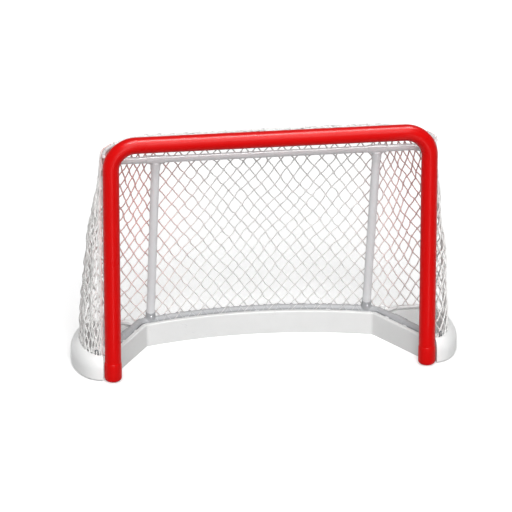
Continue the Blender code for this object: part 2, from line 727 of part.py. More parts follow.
def openings(length, count):
    """Where a panel's openings start and end along an edge, as shares of it. A bar lies between each two."""
    bar = NET_BAR / length
    pitch = (1 - bar) / count
    return [(i * pitch + bar, (i + 1) * pitch) for i in range(count)]


def with_bends(spans, bends):
    """The ends of a panel, both sides of each of its openings, and each bend that isn't right beside one."""
    kept = [0.0, 1.0] + [share for span in spans for share in span]
    for bend in bends:
        if min(abs(bend - share) for share in kept) > NET_LEAST_CELL:
            kept.append(bend)
    return sorted(kept)


def open_cells(shares, spans):
    """Whether each cell between two shares lies in an opening."""
    middles = [(low + high) / 2 for low, high in zip(shares, shares[1:])]
    return [any(start < middle < end for start, end in spans) for middle in middles]


def mesh_panel(name, rows, open_rows, open_columns):
    """A thin closed skin on a grid of points, with a plain grid of openings that stands for the netting."""
    mesh = bpy.data.meshes.new(name)
    high, wide = len(rows), len(rows[0])
    points = []
    for layer in (0.5, -0.5):
        for r in range(high):
            for c in range(wide):
                down = rows[min(r + 1, high - 1)][c] - rows[max(r - 1, 0)][c]
                along = rows[r][min(c + 1, wide - 1)] - rows[r][max(c - 1, 0)]
                points.append(rows[r][c] + along.cross(down).normalized() * NET_THICKNESS * layer)
    size = high * wide

    def solid(r, c):
        within = 0 <= r < high - 1 and 0 <= c < wide - 1
        return within and not (open_rows[r] and open_columns[c])

    faces = []
    for r in range(high - 1):
        for c in range(wide - 1):
            if not solid(r, c):
                continue
            a = r * wide + c
            quad = (a, a + 1, a + wide + 1, a + wide)
            faces.append(quad)
            faces.append(tuple(size + i for i in quad[::-1]))
            beside = ((r - 1, c), (r, c + 1), (r + 1, c), (r, c - 1))
            for start, end, cell in zip(quad, quad[1:] + quad[:1], beside):
                if not solid(*cell):
                    faces.append((start, end, end + size, start + size))
    mesh.from_pydata(points, [], faces)
    return place(name, mesh, NET_TWINE)


def ruled_panel(names, top, bottom, counts):
    """A panel between two edges, and its mirror image if a second name is given."""
    across, down = counts
    top_run, bottom_run = run_lengths(top), run_lengths(bottom)
    bends = [along / top_run[-1] for along in top_run] + [along / bottom_run[-1] for along in bottom_run]
    spans = openings(top_run[-1], across)
    shares = with_bends(spans, bends)
    high = [at_length(top, share * top_run[-1])[0] for share in shares]
    low = [at_length(bottom, share * bottom_run[-1])[0] for share in shares]
    drop_spans = openings((high[0] - low[0]).length, down)
    drops = with_bends(drop_spans, [])
    rows = [[a.lerp(b, drop) for a, b in zip(high, low)] for drop in drops]
    open_rows, open_columns = open_cells(drops, drop_spans), open_cells(shares, spans)
    for name, flip in zip(names, (False, True)):
        mesh_panel(name, [mirrored(row) for row in rows] if flip else rows, open_rows, open_columns)


def side_net_lines():
    """The right side panel's upper and lower edges, from the post to the seam by the rear post."""
    seam = REAR_POST_X + SEAT
    top = [p for p in net_bow_line(NET_BOW_OFFSET, rod_place().y) if p.x > seam]
    top.append(Vector((seam, net_bow_y(seam) + NET_BOW_OFFSET, NET_BOW_HEIGHT)))
    flared = [p for p in flare(SIDE_NET_OFFSET) if p.y > FLARE_Y or p.x > POST_X + BOOT_RADIUS + 4 * SEAT]
    rear_y = rear_tube_y(WALL_CORNER_X)
    bottom = flared[::-1] + [Vector((BUMPER_SEAM_X, rear_y + SIDE_NET_OFFSET, 0))]
    bottom.append(Vector((WALL_CORNER_X + REAR_NET_OFFSET * WALL_CORNER_X / TUBE_ARC_RADIUS / 2,
                          rear_y + REAR_NET_OFFSET, 0)))
    bottom.append(Vector((seam, rear_tube_y(seam) + REAR_NET_OFFSET, 0)))
    return top, lifted(bottom, TUBE_HEIGHT - BOW_RADIUS)


def net_panels():
    top, bottom = side_net_lines()
    ruled_panel(["net_right", "net_left"], top, bottom, NET_SIDE_OPENINGS)
    count = 10
    high, low = [], []
    for i in range(count + 1):
        x = (REAR_POST_X - SEAT) * (1 - 2 * i / count)
        high.append(Vector((x, net_bow_y(x) + NET_BOW_OFFSET, NET_BOW_HEIGHT)))
        low.append(Vector((x, rear_tube_y(x) + REAR_NET_OFFSET, bottom[-1].z)))
    ruled_panel(["net_back"], high, low, NET_BACK_OPENINGS)
    net_top_panel()


def crown_height(x):
    """The height of the front pipe's axis across the top and round its bends."""
    past = max(0.0, abs(x) - POST_X + PIPE_BEND)
    return CROSSBAR_Z - PIPE_BEND + math.sqrt(PIPE_BEND ** 2 - past ** 2)


def net_top_panel():
    """The top panel, from above the top lacing rod to above the net bow."""
    across, back = NET_TOP_OPENINGS
    bends = 20
    spans = openings(2 * NET_TOP_HALF, across)
    shares = with_bends(spans, [i / bends for i in range(bends + 1)])
    back_spans = openings(NET_BOW_DEPTH - ROD_BEHIND, back)
    back_shares = with_bends(back_spans, [])
    rows = []
    for back_share in back_shares:
        row = []
        for share in shares:
            x = NET_TOP_HALF * (1 - 2 * share)
            front = Vector((x, ROD_BEHIND, crown_height(x) + ROD_CORD_REACH + NET_LIFT))
            rear = Vector((x, net_bow_y(x), NET_BOW_HEIGHT + NET_BOW_OFFSET))
            row.append(front.lerp(rear, back_share))
        rows.append(row)
    mesh_panel("net_top", rows, open_cells(back_shares, back_spans), open_cells(shares, spans))


# Lacing

def lacing(name, path, radius, level, first_turn=0.0):
    """A cord that spirals along a rod, a small gap off its surface."""
    total = run_lengths(path)[-1]
    reach = (radius + LACING_GAP + CORD_RADIUS) * LACING_STRETCH
    count = round(total / LACING_PITCH * LACING_POINTS)
    route = []
    for i in range(count + 1):
        along = total * i / count
        point, ahead = at_length(path, along)
        side = ahead.cross(level).normalized()
        turn = 2 * math.pi * (along / LACING_PITCH + first_turn)
        route.append(point + side * reach * math.cos(turn) + level * reach * math.sin(turn))
    rod(name, route, CORD_RADIUS, LACING_TWINE, None, CORD_SIDES)


def lacings():
    bow_start = rod_place().y + LACING_CLEAR
    right = net_bow_line(0.0, bow_start)
    lacing("lacing_bow", right + mirrored(right[:-1])[::-1], NET_BOW_RADIUS, UP)
    tube_path = tube_line()
    total = run_lengths(tube_path)[-1]
    reach = math.floor((REAR_POST_X - BASE_TEE_HALF - LACING_CLEAR) / LACING_PITCH) * LACING_PITCH
    lacing("lacing_base", part_of(tube_path, total / 2 - reach, total / 2 + reach), TUBE_RADIUS, UP, 0.5)
    bow = side_bow_line()
    bow_length = run_lengths(bow)[-1]
    start = LACING_PITCH / 2
    around = part_of(bow, start, bow_length - 2 * LACING_CLEAR)
    lacing("lacing_side_right", around, BOW_RADIUS, UP)
    lacing("lacing_side_left", mirrored(around), BOW_RADIUS, UP)
    spot = rod_place()
    post = [Vector((spot.x, spot.y, ROD_BOTTOM)), Vector((spot.x, spot.y, ROD_TOP))]
    away = Vector((spot.x - POST_X, spot.y, 0)).normalized()
    lacing("lacing_post_right", post, ROD_RADIUS, away, 0.75)
    lacing("lacing_post_left", mirrored(post), ROD_RADIUS, mirrored([away])[0], 0.75)
    top = [Vector((-ROD_TOP_HALF, ROD_BEHIND, CROSSBAR_Z)), Vector((ROD_TOP_HALF, ROD_BEHIND, CROSSBAR_Z))]
    lacing("lacing_top", top, ROD_RADIUS, BACK, 0.75)


def net_staple(side, sign):
    """A dark wire loop that stands on a bumper's front end, against the foot of the net."""
    line = flare(0)
    point, ahead = at_length(line, run_lengths(line)[-1] - STAPLE_FROM_END)
    out = UP.cross(ahead).normalized()
    wire_u = SIDE_NET_OFFSET + NET_THICKNESS / 2 + SEAT + 2 * STAPLE_WIRE
    middle = point + out * wire_u + UP * BUMPER_HEIGHT
    near = middle + ahead * STAPLE_WIDTH / 2
    far = middle - ahead * STAPLE_WIDTH / 2
    bend = STAPLE_WIDTH / 3
    path = rounded([near, near + UP * STAPLE_RISE, far + UP * STAPLE_RISE, far], [bend, bend], steps=3)
    rod(f"net_staple_{side}", path if sign > 0 else mirrored(path), STAPLE_WIRE, DARK_WIRE, out, 6)


front_frame()
for side, sign in (("left", -1), ("right", 1)):
    post_boot(side, sign * POST_X)
    rear_post(side, sign * REAR_POST_X)
    low, high, rise, along = rear_post_ends(sign * REAR_POST_X)
    tee(f"rail_tee_{side}", high, ACROSS, -rise, RAIL_TEE_HALF, BACK)
    tee(f"base_tee_{side}", low, along, rise, BASE_TEE_HALF, -BACK)
    net_staple(side, sign)
rear_rail()
base_tubes()
kick_walls()
wall_saddles()
side_bows()
bumpers()
net_bow()
lacing_rods()
net_panels()
lacings()
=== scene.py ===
import math

import bpy
import numpy as np
from mathutils import Matrix, Vector


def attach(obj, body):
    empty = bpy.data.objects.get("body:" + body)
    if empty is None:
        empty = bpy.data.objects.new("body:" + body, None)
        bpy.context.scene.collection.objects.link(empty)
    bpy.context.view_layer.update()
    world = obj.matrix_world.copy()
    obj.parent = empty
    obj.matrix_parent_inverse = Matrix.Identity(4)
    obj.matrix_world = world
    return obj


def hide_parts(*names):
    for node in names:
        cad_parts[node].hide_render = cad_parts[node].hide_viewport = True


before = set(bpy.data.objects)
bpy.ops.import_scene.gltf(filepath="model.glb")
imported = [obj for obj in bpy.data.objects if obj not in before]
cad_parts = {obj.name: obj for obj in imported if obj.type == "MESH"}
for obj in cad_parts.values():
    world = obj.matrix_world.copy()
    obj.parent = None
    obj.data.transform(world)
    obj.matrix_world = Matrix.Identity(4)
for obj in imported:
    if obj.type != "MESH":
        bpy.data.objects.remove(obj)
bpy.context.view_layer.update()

# Studio
# A plain pale floor under a pale surround, lit by two broad even lights from the front and overhead.
# Long lamps over and in front of the goal only show as gleams in the paint.
# The camera stands where the photograph was taken from: far off, a little to the left, looking down.
GOAL_MIDDLE_Y = 0.202775  # from the goal line, where the posts stand, back to the model's middle
CAMERA_TURN = math.radians(7.692)
CAMERA_PITCH = math.radians(22.5)
CAMERA_AIM = Vector((0, 0.15 - GOAL_MIDDLE_Y, 0.45))
CAMERA_DISTANCE = 18.305
CAMERA_SLIDE = (0.0334, 0.0477)
CAMERA_REACH = 100
FRAME_PIXELS = 512
FOCAL_PIXELS = 5000


def added(name, data):
    """An object in the scene that carries the data."""
    made = bpy.data.objects.new(name, data)
    bpy.context.scene.collection.objects.link(made)
    return made


look = Vector((math.sin(CAMERA_TURN) * math.cos(CAMERA_PITCH),
               math.cos(CAMERA_TURN) * math.cos(CAMERA_PITCH), -math.sin(CAMERA_PITCH)))
look_right = Vector((math.cos(CAMERA_TURN), -math.sin(CAMERA_TURN), 0))
look_up = look_right.cross(look)
camera_data = bpy.data.cameras.new("photo_camera")
camera_data.lens = FOCAL_PIXELS / FRAME_PIXELS * camera_data.sensor_width
camera_data.clip_end = CAMERA_REACH
camera = added("photo_camera", camera_data)
camera.matrix_world = Matrix((look_right, look_up, -look)).transposed().to_4x4()
camera.location = (CAMERA_AIM - look * CAMERA_DISTANCE
                   - look_right * CAMERA_SLIDE[0] - look_up * CAMERA_SLIDE[1])
bpy.context.scene.camera = camera
bpy.context.scene.view_settings.view_transform = "Standard"


def feed(tree, socket, value):
    """A socket given a number or a colour, or linked to another node's output."""
    if isinstance(value, bpy.types.NodeSocket):
        tree.links.new(value, socket)
    else:
        socket.default_value = value


def filled(tree, made, **values):
    """A node with its named sockets fed. A space in a socket's name is written as an underscore."""
    for key, value in values.items():
        feed(tree, made.inputs[key.replace("_", " ")], value)
    return made


def in_order(tree, made, *values):
    """The first output of a node whose sockets are fed from the first one on."""
    for socket, value in zip(made.inputs, values):
        feed(tree, socket, value)
    return made.outputs[0]


def node(tree, kind, settings=None, **values):
    """A shader node with its settings and the values of its sockets."""
    made = tree.nodes.new("ShaderNode" + kind)
    for key, value in (settings or {}).items():
        setattr(made, key, value)
    return filled(tree, made, **values)


def maths(tree, operation, first, second=0.0, clamp=False):
    return in_order(tree, node(tree, "Math", {"operation": operation, "use_clamp": clamp}), first, second)


def plus(tree, first, second, clamp=False):
    return maths(tree, "ADD", first, second, clamp)


def times(tree, first, second, clamp=False):
    return maths(tree, "MULTIPLY", first, second, clamp)


def spread(tree, value, low, high, to_low=0.0, to_high=1.0):
    """The value's range from low to high, eased onto another range."""
    eased = node(tree, "MapRange", {"interpolation_type": "SMOOTHSTEP"})
    return in_order(tree, eased, value, low, high, to_low, to_high)


def mixed(tree, factor, first, second, blend="MIX"):
    """Two colours mixed by a mask."""
    made = node(tree, "Mix", {"data_type": "RGBA", "blend_type": blend})
    for index, value in ((0, factor), (6, first), (7, second)):
        feed(tree, made.inputs[index], value)
    return made.outputs[2]


def colour(red, green, blue):
    return (red, green, blue, 1.0)


def grey(level):
    return colour(level, level, level)


def material(name):
    made = bpy.data.materials.new(name)
    made.use_nodes = True
    return made, made.node_tree, made.node_tree.nodes["Principled BSDF"]


FLOOR_SIZE = 120.0
FLOOR_DROP = 0.0002
FLOOR_WHITE = 0.94
FLOOR_MOTTLE = 0.95
FLOOR_GREY = 0.24
FLOOR_LIFT = 0.27
floor_finish, tree, shader = material("studio_floor")
tree.nodes.remove(shader)
path_kind = node(tree, "LightPath")
shown = maths(tree, "MAXIMUM", path_kind.outputs["Is Camera Ray"], path_kind.outputs["Is Glossy Ray"])
shown = maths(tree, "MAXIMUM", shown, path_kind.outputs["Is Transmission Ray"])
mottle = node(tree, "TexNoise", Scale=1.5, Detail=3.0).outputs[0]
pale = mixed(tree, mottle, grey(FLOOR_WHITE), grey(FLOOR_MOTTLE))
dull = node(tree, "BsdfDiffuse", Color=grey(FLOOR_GREY)).outputs[0]
bright = node(tree, "BsdfDiffuse", Color=pale).outputs[0]
glow = node(tree, "Emission", Color=grey(1), Strength=FLOOR_LIFT).outputs[0]
seen = in_order(tree, node(tree, "AddShader"), bright, glow)
feed(tree, tree.nodes["Material Output"].inputs["Surface"],
     in_order(tree, node(tree, "MixShader"), shown, dull, seen))
half = FLOOR_SIZE / 2
floor_mesh = bpy.data.meshes.new("studio_floor")
floor_mesh.from_pydata([(x * half, y * half, 0) for x, y in ((-1, -1), (1, -1), (1, 1), (-1, 1))],
                       [], [(0, 1, 2, 3)])
floor_mesh.materials.append(floor_finish)
floor = added("studio_floor", floor_mesh)
floor.location.z = -FLOOR_DROP

SURROUND = 0.32
surround = bpy.data.worlds.new("studio_surround")
surround.use_nodes = True
filled(surround.node_tree, surround.node_tree.nodes["Background"], Color=grey(1), Strength=SURROUND)
bpy.context.scene.world = surround


def gleam_box(name, place, aim, width, height, radiance):
    """A rectangular lamp, given by the brightness of its face, which only shows as a gleam."""
    data = bpy.data.lights.new(name, "AREA")
    data.shape = "RECTANGLE"
    data.size = width
    data.size_y = height
    data.energy = radiance * math.pi * width * height
    lamp = added(name, data)
    lamp.location = place
    lamp.rotation_euler = (Vector(aim) - Vector(place)).to_track_quat("-Z", "Y").to_euler()
    lamp.visible_camera = False
    lamp.visible_diffuse = False


def soft_sun(name, turn, rise, spread_angle, brightness):
    """Even light from one side. A white surface that faces it gets this brightness from it."""
    data = bpy.data.lights.new(name, "SUN")
    data.energy = brightness * math.pi
    data.angle = math.radians(spread_angle)
    added(name, data).rotation_euler = (math.radians(90 - rise), 0, math.radians(-turn))


soft_sun("front_light", turn=3, rise=36, spread_angle=34, brightness=0.80)
soft_sun("top_light", turn=0, rise=80, spread_angle=40, brightness=0.11)
gleam_box("overhead_strip", (0.3, -0.42, 3.3), aim=(0.1, 0, 0.9), width=3.4, height=0.42, radiance=82)
gleam_box("forward_strip", (0.0, -1.5, 3.2), aim=(0.0, 0, 0.9), width=3.4, height=1.2, radiance=9)
gleam_box("front_strip", (-1.2, -6.5, 1.6), aim=(0, 0, 0.45), width=1.6, height=2.6, radiance=13)
for side_name, x in (("left", -0.55), ("right", 0.61)):
    gleam_box(f"post_gleam_{side_name}", (x, -0.52, 0.45), aim=(x - 0.04, -0.22, 0.45), width=0.08,
              height=0.86, radiance=4.0)


# Front frame
# One steel pipe, 60 mm across, bent twice into both posts and the crossbar.
# It has a thick gloss red powder coat, and carries the rest of the goal behind it.
OPENING_WIDTH = 1.100
OPENING_HEIGHT = 0.885
PIPE_RADIUS = 0.03015
PIPE_BEND = 0.092
PIPE_FOOT = 0.0083
PIPE_SIDES = 72
SEAT = 0.0003  # clearance between pieces that sit against each other
POST_X = OPENING_WIDTH / 2 + PIPE_RADIUS
CROSSBAR_Z = OPENING_HEIGHT + PIPE_RADIUS
UP = Vector((0, 0, 1))
BACK = Vector((0, 1, 0))
ACROSS = Vector((1, 0, 0))


def rounded(corners, radii, steps):
    """A path through the corners, each one turned into an arc of its own radius."""
    path = [corners[0]]
    for before, corner, after, radius in zip(corners, corners[1:], corners[2:], radii):
        a = (before - corner).normalized()
        b = (after - corner).normalized()
        half_angle = a.angle(b) / 2
        start = corner + a * radius / math.tan(half_angle)
        end = corner + b * radius / math.tan(half_angle)
        centre = corner + (a + b).normalized() * radius / math.sin(half_angle)
        for i in range(steps + 1):
            arm = (start - centre).slerp(end - centre, i / steps)
            path.append(centre + arm.normalized() * radius)
    return path + [corners[-1]]


def circle(radius, sides):
    turns = [2 * math.pi * i / sides for i in range(sides)]
    return [(radius * math.cos(turn), radius * math.sin(turn)) for turn in turns]


def unit(rows):
    return rows / np.maximum(np.linalg.norm(rows, axis=-1, keepdims=True), 1e-12)


def across_path(path, level):
    """Two directions across a path at each point: square to a given one, or turned as little as possible."""
    between = unit(np.diff(path, axis=0))
    ahead = unit(np.vstack([between[:1], between[:-1] + between[1:], between[-1:]]))
    if level is None:
        rows = [unit(np.cross(ahead[0], (0.3, 0.5, 0.8)))]
        for way in ahead[1:]:
            rows.append(unit(rows[-1] - way * np.dot(rows[-1], way)))
        side = np.array(rows)
    else:
        side = unit(np.cross(ahead, np.broadcast_to(np.array(level, float), ahead.shape)))
    return side, np.cross(side, ahead)


def carried(path, side, rise, outline):
    """The points of an outline set across a path at each of the path's points."""
    return (path[:, None] + side[:, None] * outline[:, :1] + rise[:, None] * outline[:, 1:]).reshape(-1, 3)


def lengths_along(path):
    return np.concatenate([[0.0], np.cumsum(np.linalg.norm(np.diff(path, axis=0), axis=1))])


def ring_faces(sides, lengths, rings):
    """Four-sided faces between rings of points, and how far round and along each of their corners is.

    There is a length for each ring, and one more where the last ring is joined to the first.
    """
    i, r = np.meshgrid(np.arange(sides), np.arange(len(lengths) - 1))
    j, after = (i + 1) % sides, (r + 1) % rings
    faces = np.stack([r * sides + i, r * sides + j, after * sides + j, after * sides + i], axis=-1)
    turn, next_turn = i / sides, (i + 1) / sides
    low, high = lengths[r], lengths[r + 1]
    corners = ((turn, low), (next_turn, low), (next_turn, high), (turn, high))
    marks = np.stack([np.stack(corner, axis=-1) for corner in corners], axis=2)
    return faces.reshape(-1, 4), marks.reshape(-1, 4, 2)


def end_caps(sides, rings):
    return [list(range(sides))[::-1], list(range((rings - 1) * sides, rings * sides))]


def skin(path, outline, level):
    """An outline carried along a path: its points, four-sided faces, caps, and how far round and along."""
    path = np.array([tuple(p) for p in path], float)
    outline = np.array(outline, float)
    side, rise = across_path(path, level)
    faces, marks = ring_faces(len(outline), lengths_along(path), len(path))
    return carried(path, side, rise, outline), faces, end_caps(len(outline), len(path)), marks


def rod(path, radius, sides, level=None):
    """A round bar along a path."""
    return skin(path, circle(radius, sides), level)


def dressed(name, mesh, finish, node_name, sharp_degrees):
    """The mesh as a piece: its finish, smooth shading with sharp edges and its body, with the CAD part it
    stands for hidden.
    """
    mesh.materials.clear()
    mesh.materials.append(finish)
    mesh.shade_smooth()
    if sharp_degrees:
        mesh.set_sharp_from_angle(angle=math.radians(sharp_degrees))
    made = added(name, mesh)
    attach(made, "root")
    if node_name:
        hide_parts(node_name)


def piece(name, chunks, finish, node_name, sharp_degrees=40.0):
    """A piece made from skins, and moved from the goal line's frame into the model's."""
    points, faces, marks = [], [], []
    first = 0
    for chunk_points, quads, caps, quad_marks in chunks:
        points.append(chunk_points)
        faces += (quads + first).tolist() + [[v + first for v in cap] for cap in caps]
        marks += [quad_marks.reshape(-1, 2), np.zeros((sum(map(len, caps)), 2))]
        first += len(chunk_points)
    mesh = bpy.data.meshes.new(name)
    mesh.from_pydata((np.concatenate(points) - (0, GOAL_MIDDLE_Y, 0)).tolist(), [], faces)
    run = mesh.uv_layers.new(name="run")
    run.data.foreach_set("uv", np.concatenate(marks).ravel().astype(np.float32))
    dressed(name, mesh, finish, node_name, sharp_degrees)


def group(name, inputs, outputs):
    """An empty shader node group and its two ends. Sockets named Colour hold colours, the others numbers."""
    made = bpy.data.node_groups.new(name, "ShaderNodeTree")
    kinds = {"Colour": "NodeSocketColor"}
    for socket_name, value in inputs.items():
        kind = kinds.get(socket_name, "NodeSocketFloat")
        made.interface.new_socket(socket_name, in_out="INPUT", socket_type=kind).default_value = value
    for socket_name in outputs:
        kind = kinds.get(socket_name, "NodeSocketFloat")
        made.interface.new_socket(socket_name, in_out="OUTPUT", socket_type=kind)
    return made, made.nodes.new("NodeGroupInput").outputs, made.nodes.new("NodeGroupOutput")


def placed(tree, made, **values):
    """A node group placed in a material with its own values."""
    spot = tree.nodes.new("ShaderNodeGroup")
    spot.node_tree = made
    return filled(tree, spot, **values).outputs


def object_place(tree):
    return node(tree, "TexCoord").outputs["Object"]


def noise(tree, place, scale, detail, roughness=0.5):
    """Soft noise about a half."""
    return node(tree, "TexNoise", Vector=place, Scale=scale, Detail=detail, Roughness=roughness).outputs[0]


def toned(tree, base, change, share):
    """A colour made lighter and darker by twice the share of the change."""
    value = plus(tree, 1.0, times(tree, times(tree, change, share), 2.0))
    return node(tree, "HueSaturation", Color=base, Value=value).outputs[0]


# A sprayed and baked coat: slow changes of tone, the fine waviness of the film, and specks under it.
paint_film, given, result = group(
    "paint_film", {"Colour": grey(0.8), "Tone change": 0.06, "Ripple size": 0.0022, "Fleck size": 0.0006},
    ["Colour", "Height", "Roughness change"])
tree = paint_film
place = object_place(tree)
slow = noise(tree, place, scale=7.0, detail=4.0, roughness=0.6)
ripple = noise(tree, place, scale=maths(tree, "DIVIDE", 1.0, given["Ripple size"]), detail=1.5)
flecks = noise(tree, place, scale=maths(tree, "DIVIDE", 1.0, given["Fleck size"]), detail=1.0)
change = maths(tree, "SUBTRACT", slow, 0.5)
filled(tree, result, Colour=toned(tree, given["Colour"], change, given["Tone change"]),
       Height=plus(tree, ripple, times(tree, flecks, 0.35)), Roughness_change=change)

# Fine scratches and rubbed places, which break the gloss where a part has been handled or hit.
SCRATCH_TURN = (0.5, 0.9, 0.35)
scuffs, given, result = group("scuffs", {"Amount": 0.3, "Size": 0.05, "Stretch": 8.0}, ["Mask", "Rub"])
tree = scuffs
place = object_place(tree)
per_size = maths(tree, "DIVIDE", 1.0, given["Size"])
turned_place = node(tree, "Mapping", {"vector_type": "POINT"}, Vector=place, Rotation=SCRATCH_TURN)
stretched = node(tree, "CombineXYZ", X=given["Stretch"], Y=1.0, Z=1.0)
long_place = in_order(tree, node(tree, "VectorMath", {"operation": "MULTIPLY"}),
                      turned_place.outputs[0], stretched.outputs[0])
lines = noise(tree, long_place, scale=times(tree, per_size, 3.0), detail=6.0, roughness=0.7)
where = spread(tree, noise(tree, place, scale=per_size, detail=3.0), 0.48, 0.72)
fine = spread(tree, lines, 0.60, 0.66)
filled(tree, result, Mask=times(tree, times(tree, where, fine), given["Amount"], clamp=True),
       Rub=times(tree, where, given["Amount"], clamp=True))

# Dust that has settled where a surface faces up.
dust, given, result = group("dust", {"Amount": 0.2}, ["Mask"])
tree = dust
facing = node(tree, "SeparateXYZ", Vector=node(tree, "NewGeometry").outputs["Normal"]).outputs["Z"]
speckle = noise(tree, object_place(tree), scale=60.0, detail=6.0, roughness=0.65)
settled = times(tree, spread(tree, facing, 0.5, 1.0), spread(tree, speckle, 0.35, 0.75))
filled(tree, result, Mask=times(tree, settled, given["Amount"], clamp=True))


def relief(tree, height, depth):
    """The bumps that a height gives, depth in metres."""
    return node(tree, "Bump", Distance=depth, Height=height).outputs[0]


def dulled(tree, roughness, *changes):
    """A roughness with a share of each mask added to it."""
    for mask, share in changes:
        roughness = plus(tree, roughness, times(tree, mask, share), clamp=True)
    return roughness


def coated(name, base, roughness, tone_change, ripple_depth, scratch, dusty, specular,
           dust_colour=(0.7, 0.69, 0.67)):
    """A painted finish: the film, scratches that dull it, and dust on top."""
    made, tree, shader = material(name)
    film = placed(tree, paint_film, Colour=colour(*base), Tone_change=tone_change)
    marks = placed(tree, scuffs, Amount=scratch, Size=0.06)
    dusted = placed(tree, dust, Amount=dusty)
    scratched = colour(*[min(1.0, c * 0.8 + 0.08) for c in base])
    rubbed = mixed(tree, times(tree, marks["Mask"], 0.25), film["Colour"], scratched)
    filled(tree, shader, Base_Color=mixed(tree, dusted["Mask"], rubbed, colour(*dust_colour)),
           Roughness=dulled(tree, roughness, (film["Roughness change"], 0.12), (marks["Mask"], 0.25),
                            (dusted["Mask"], 0.5)),
           Specular_IOR_Level=specular, Normal=relief(tree, film["Height"], ripple_depth))
    return made


red_coat = coated("red_coat", (0.72, 0.0022, 0.0022), roughness=0.29, tone_change=0.05, ripple_depth=0.00003,
                  scratch=0.2, dusty=0.01, specular=0.09, dust_colour=(0.60, 0.10, 0.09))
pipe_corners = [Vector((-POST_X, 0, PIPE_FOOT)), Vector((-POST_X, 0, CROSSBAR_Z)),
                Vector((POST_X, 0, CROSSBAR_Z)), Vector((POST_X, 0, PIPE_FOOT))]
pipe_path = rounded(pipe_corners, [PIPE_BEND, PIPE_BEND], steps=32)
piece("front_pipe", [rod(pipe_path, PIPE_RADIUS, PIPE_SIDES, BACK)], red_coat, "front_frame")


# Post boots
# A soft red cap pushed over the foot of each post, so that the steel doesn't mark the floor.
# It is moulded in one piece, a little duller than the paint, with a rounded rim and a thin tapering lip.
BOOT_WALL = 0.002
BOOT_HEIGHT = 0.074
BOOT_EDGE = 0.016
BOOT_LIP = 0.024
BOOT_CENTRE = 0.001
BOOT_RADIUS = PIPE_RADIUS + SEAT + BOOT_WALL
SIDES = (("left", -1), ("right", 1))


def quarter(centre, size, first_degrees, last_degrees, steps):
    """Points on an ellipse's arc, as (u, v) pairs."""
    sweep = last_degrees - first_degrees
    turns = [math.radians(first_degrees + sweep * i / steps) for i in range(steps + 1)]
    return [(centre[0] + size[0] * math.cos(turn), centre[1] + size[1] * math.sin(turn)) for turn in turns]


def turned(base, axis, profile, sides):
    """A solid turned about an axis, from (radius, height) pairs, with a flat cap at each end."""
    side = (ACROSS - axis * ACROSS.dot(axis)).normalized()
    rise = axis.cross(side)
    turns = np.array(circle(1.0, sides))
    spokes = turns[:, :1] * np.array(side) + turns[:, 1:] * np.array(rise)
    points = np.concatenate([np.array(base) + np.array(axis) * h + spokes * r for r, h in profile])
    faces, marks = ring_faces(sides, lengths_along(np.array(profile)), len(profile))
    return points, faces, end_caps(sides, len(profile)), marks


boot_rubber = coated("boot_rubber", (0.69, 0.0025, 0.0025), roughness=0.30, tone_change=0.05,
                     ripple_depth=0.00005, scratch=0.4, dusty=0.02, specular=0.10,
                     dust_colour=(0.55, 0.12, 0.11))
boot_profile = [(BOOT_CENTRE, 0)]
boot_profile += quarter((BOOT_RADIUS - BOOT_EDGE, BOOT_EDGE), (BOOT_EDGE, BOOT_EDGE), -90, 0, 12)
boot_profile.append((BOOT_RADIUS, BOOT_HEIGHT * 0.5))
boot_profile += quarter((BOOT_RADIUS - BOOT_WALL, BOOT_HEIGHT - BOOT_LIP), (BOOT_WALL, BOOT_LIP), 0, 75, 6)
boot_profile += [(PIPE_RADIUS + SEAT, BOOT_HEIGHT), (PIPE_RADIUS + SEAT, PIPE_FOOT - SEAT),
                 (BOOT_CENTRE, PIPE_FOOT - SEAT)]
for side_name, sign in SIDES:
    foot = Vector((sign * POST_X, 0, 0))
    piece(f"foot_cap_{side_name}", [turned(foot, UP, boot_profile, PIPE_SIDES)], boot_rubber,
          f"post_boot_{side_name}")


# Kick walls
# Three white moulded boards on edge that keep the puck off the base tube, butted at the rear corners.
# They have rounded top edges and a fine moulded grain, and pucks leave faint grey rubs on them.
# Their inner face is a shallow arc at the rear, and straight from each corner to the post.
TUBE_HEIGHT = 0.0887
WALL_HEIGHT = TUBE_HEIGHT - 0.0017
WALL_THICKNESS = 0.018
WALL_EDGE = 0.005
WALL_MIDDLE_Y = 0.356
WALL_CORNER_X = POST_X - 0.15715
WALL_CORNER_Y = 0.291
WALL_CORNER_RADIUS = 0.020
WALL_FRONT_X = POST_X - 0.02015
WALL_FRONT_Y = 0.0627
ARC_RISE = WALL_MIDDLE_Y - WALL_CORNER_Y
WALL_ARC_RADIUS = (WALL_CORNER_X ** 2 + ARC_RISE ** 2) / (2 * ARC_RISE)
ARC_CENTRE_Y = WALL_MIDDLE_Y - WALL_ARC_RADIUS


def wall_line():
    """The line of the walls' inner face on the floor, from the left front end to the right one."""
    steps, clear = 48, 3
    reach = math.asin(WALL_CORNER_X / WALL_ARC_RADIUS)
    turns = [reach * (2 * i / steps - 1) for i in range(steps + 1)]
    arc = [Vector((WALL_ARC_RADIUS * math.sin(turn), ARC_CENTRE_Y + WALL_ARC_RADIUS * math.cos(turn), 0))
           for turn in turns]
    left = Vector((-WALL_FRONT_X, WALL_FRONT_Y, 0))
    right = Vector((WALL_FRONT_X, WALL_FRONT_Y, 0))
    start = rounded([left, arc[0], arc[clear]], [WALL_CORNER_RADIUS], steps=10)[:-1]
    end = rounded([arc[-1 - clear], arc[-1], right], [WALL_CORNER_RADIUS], steps=10)[1:]
    return start + arc[clear:-clear] + end


def run_lengths(path):
    """The length along a path at each of its points."""
    lengths = [0.0]
    for a, b in zip(path, path[1:]):
        lengths.append(lengths[-1] + (b - a).length)
    return lengths


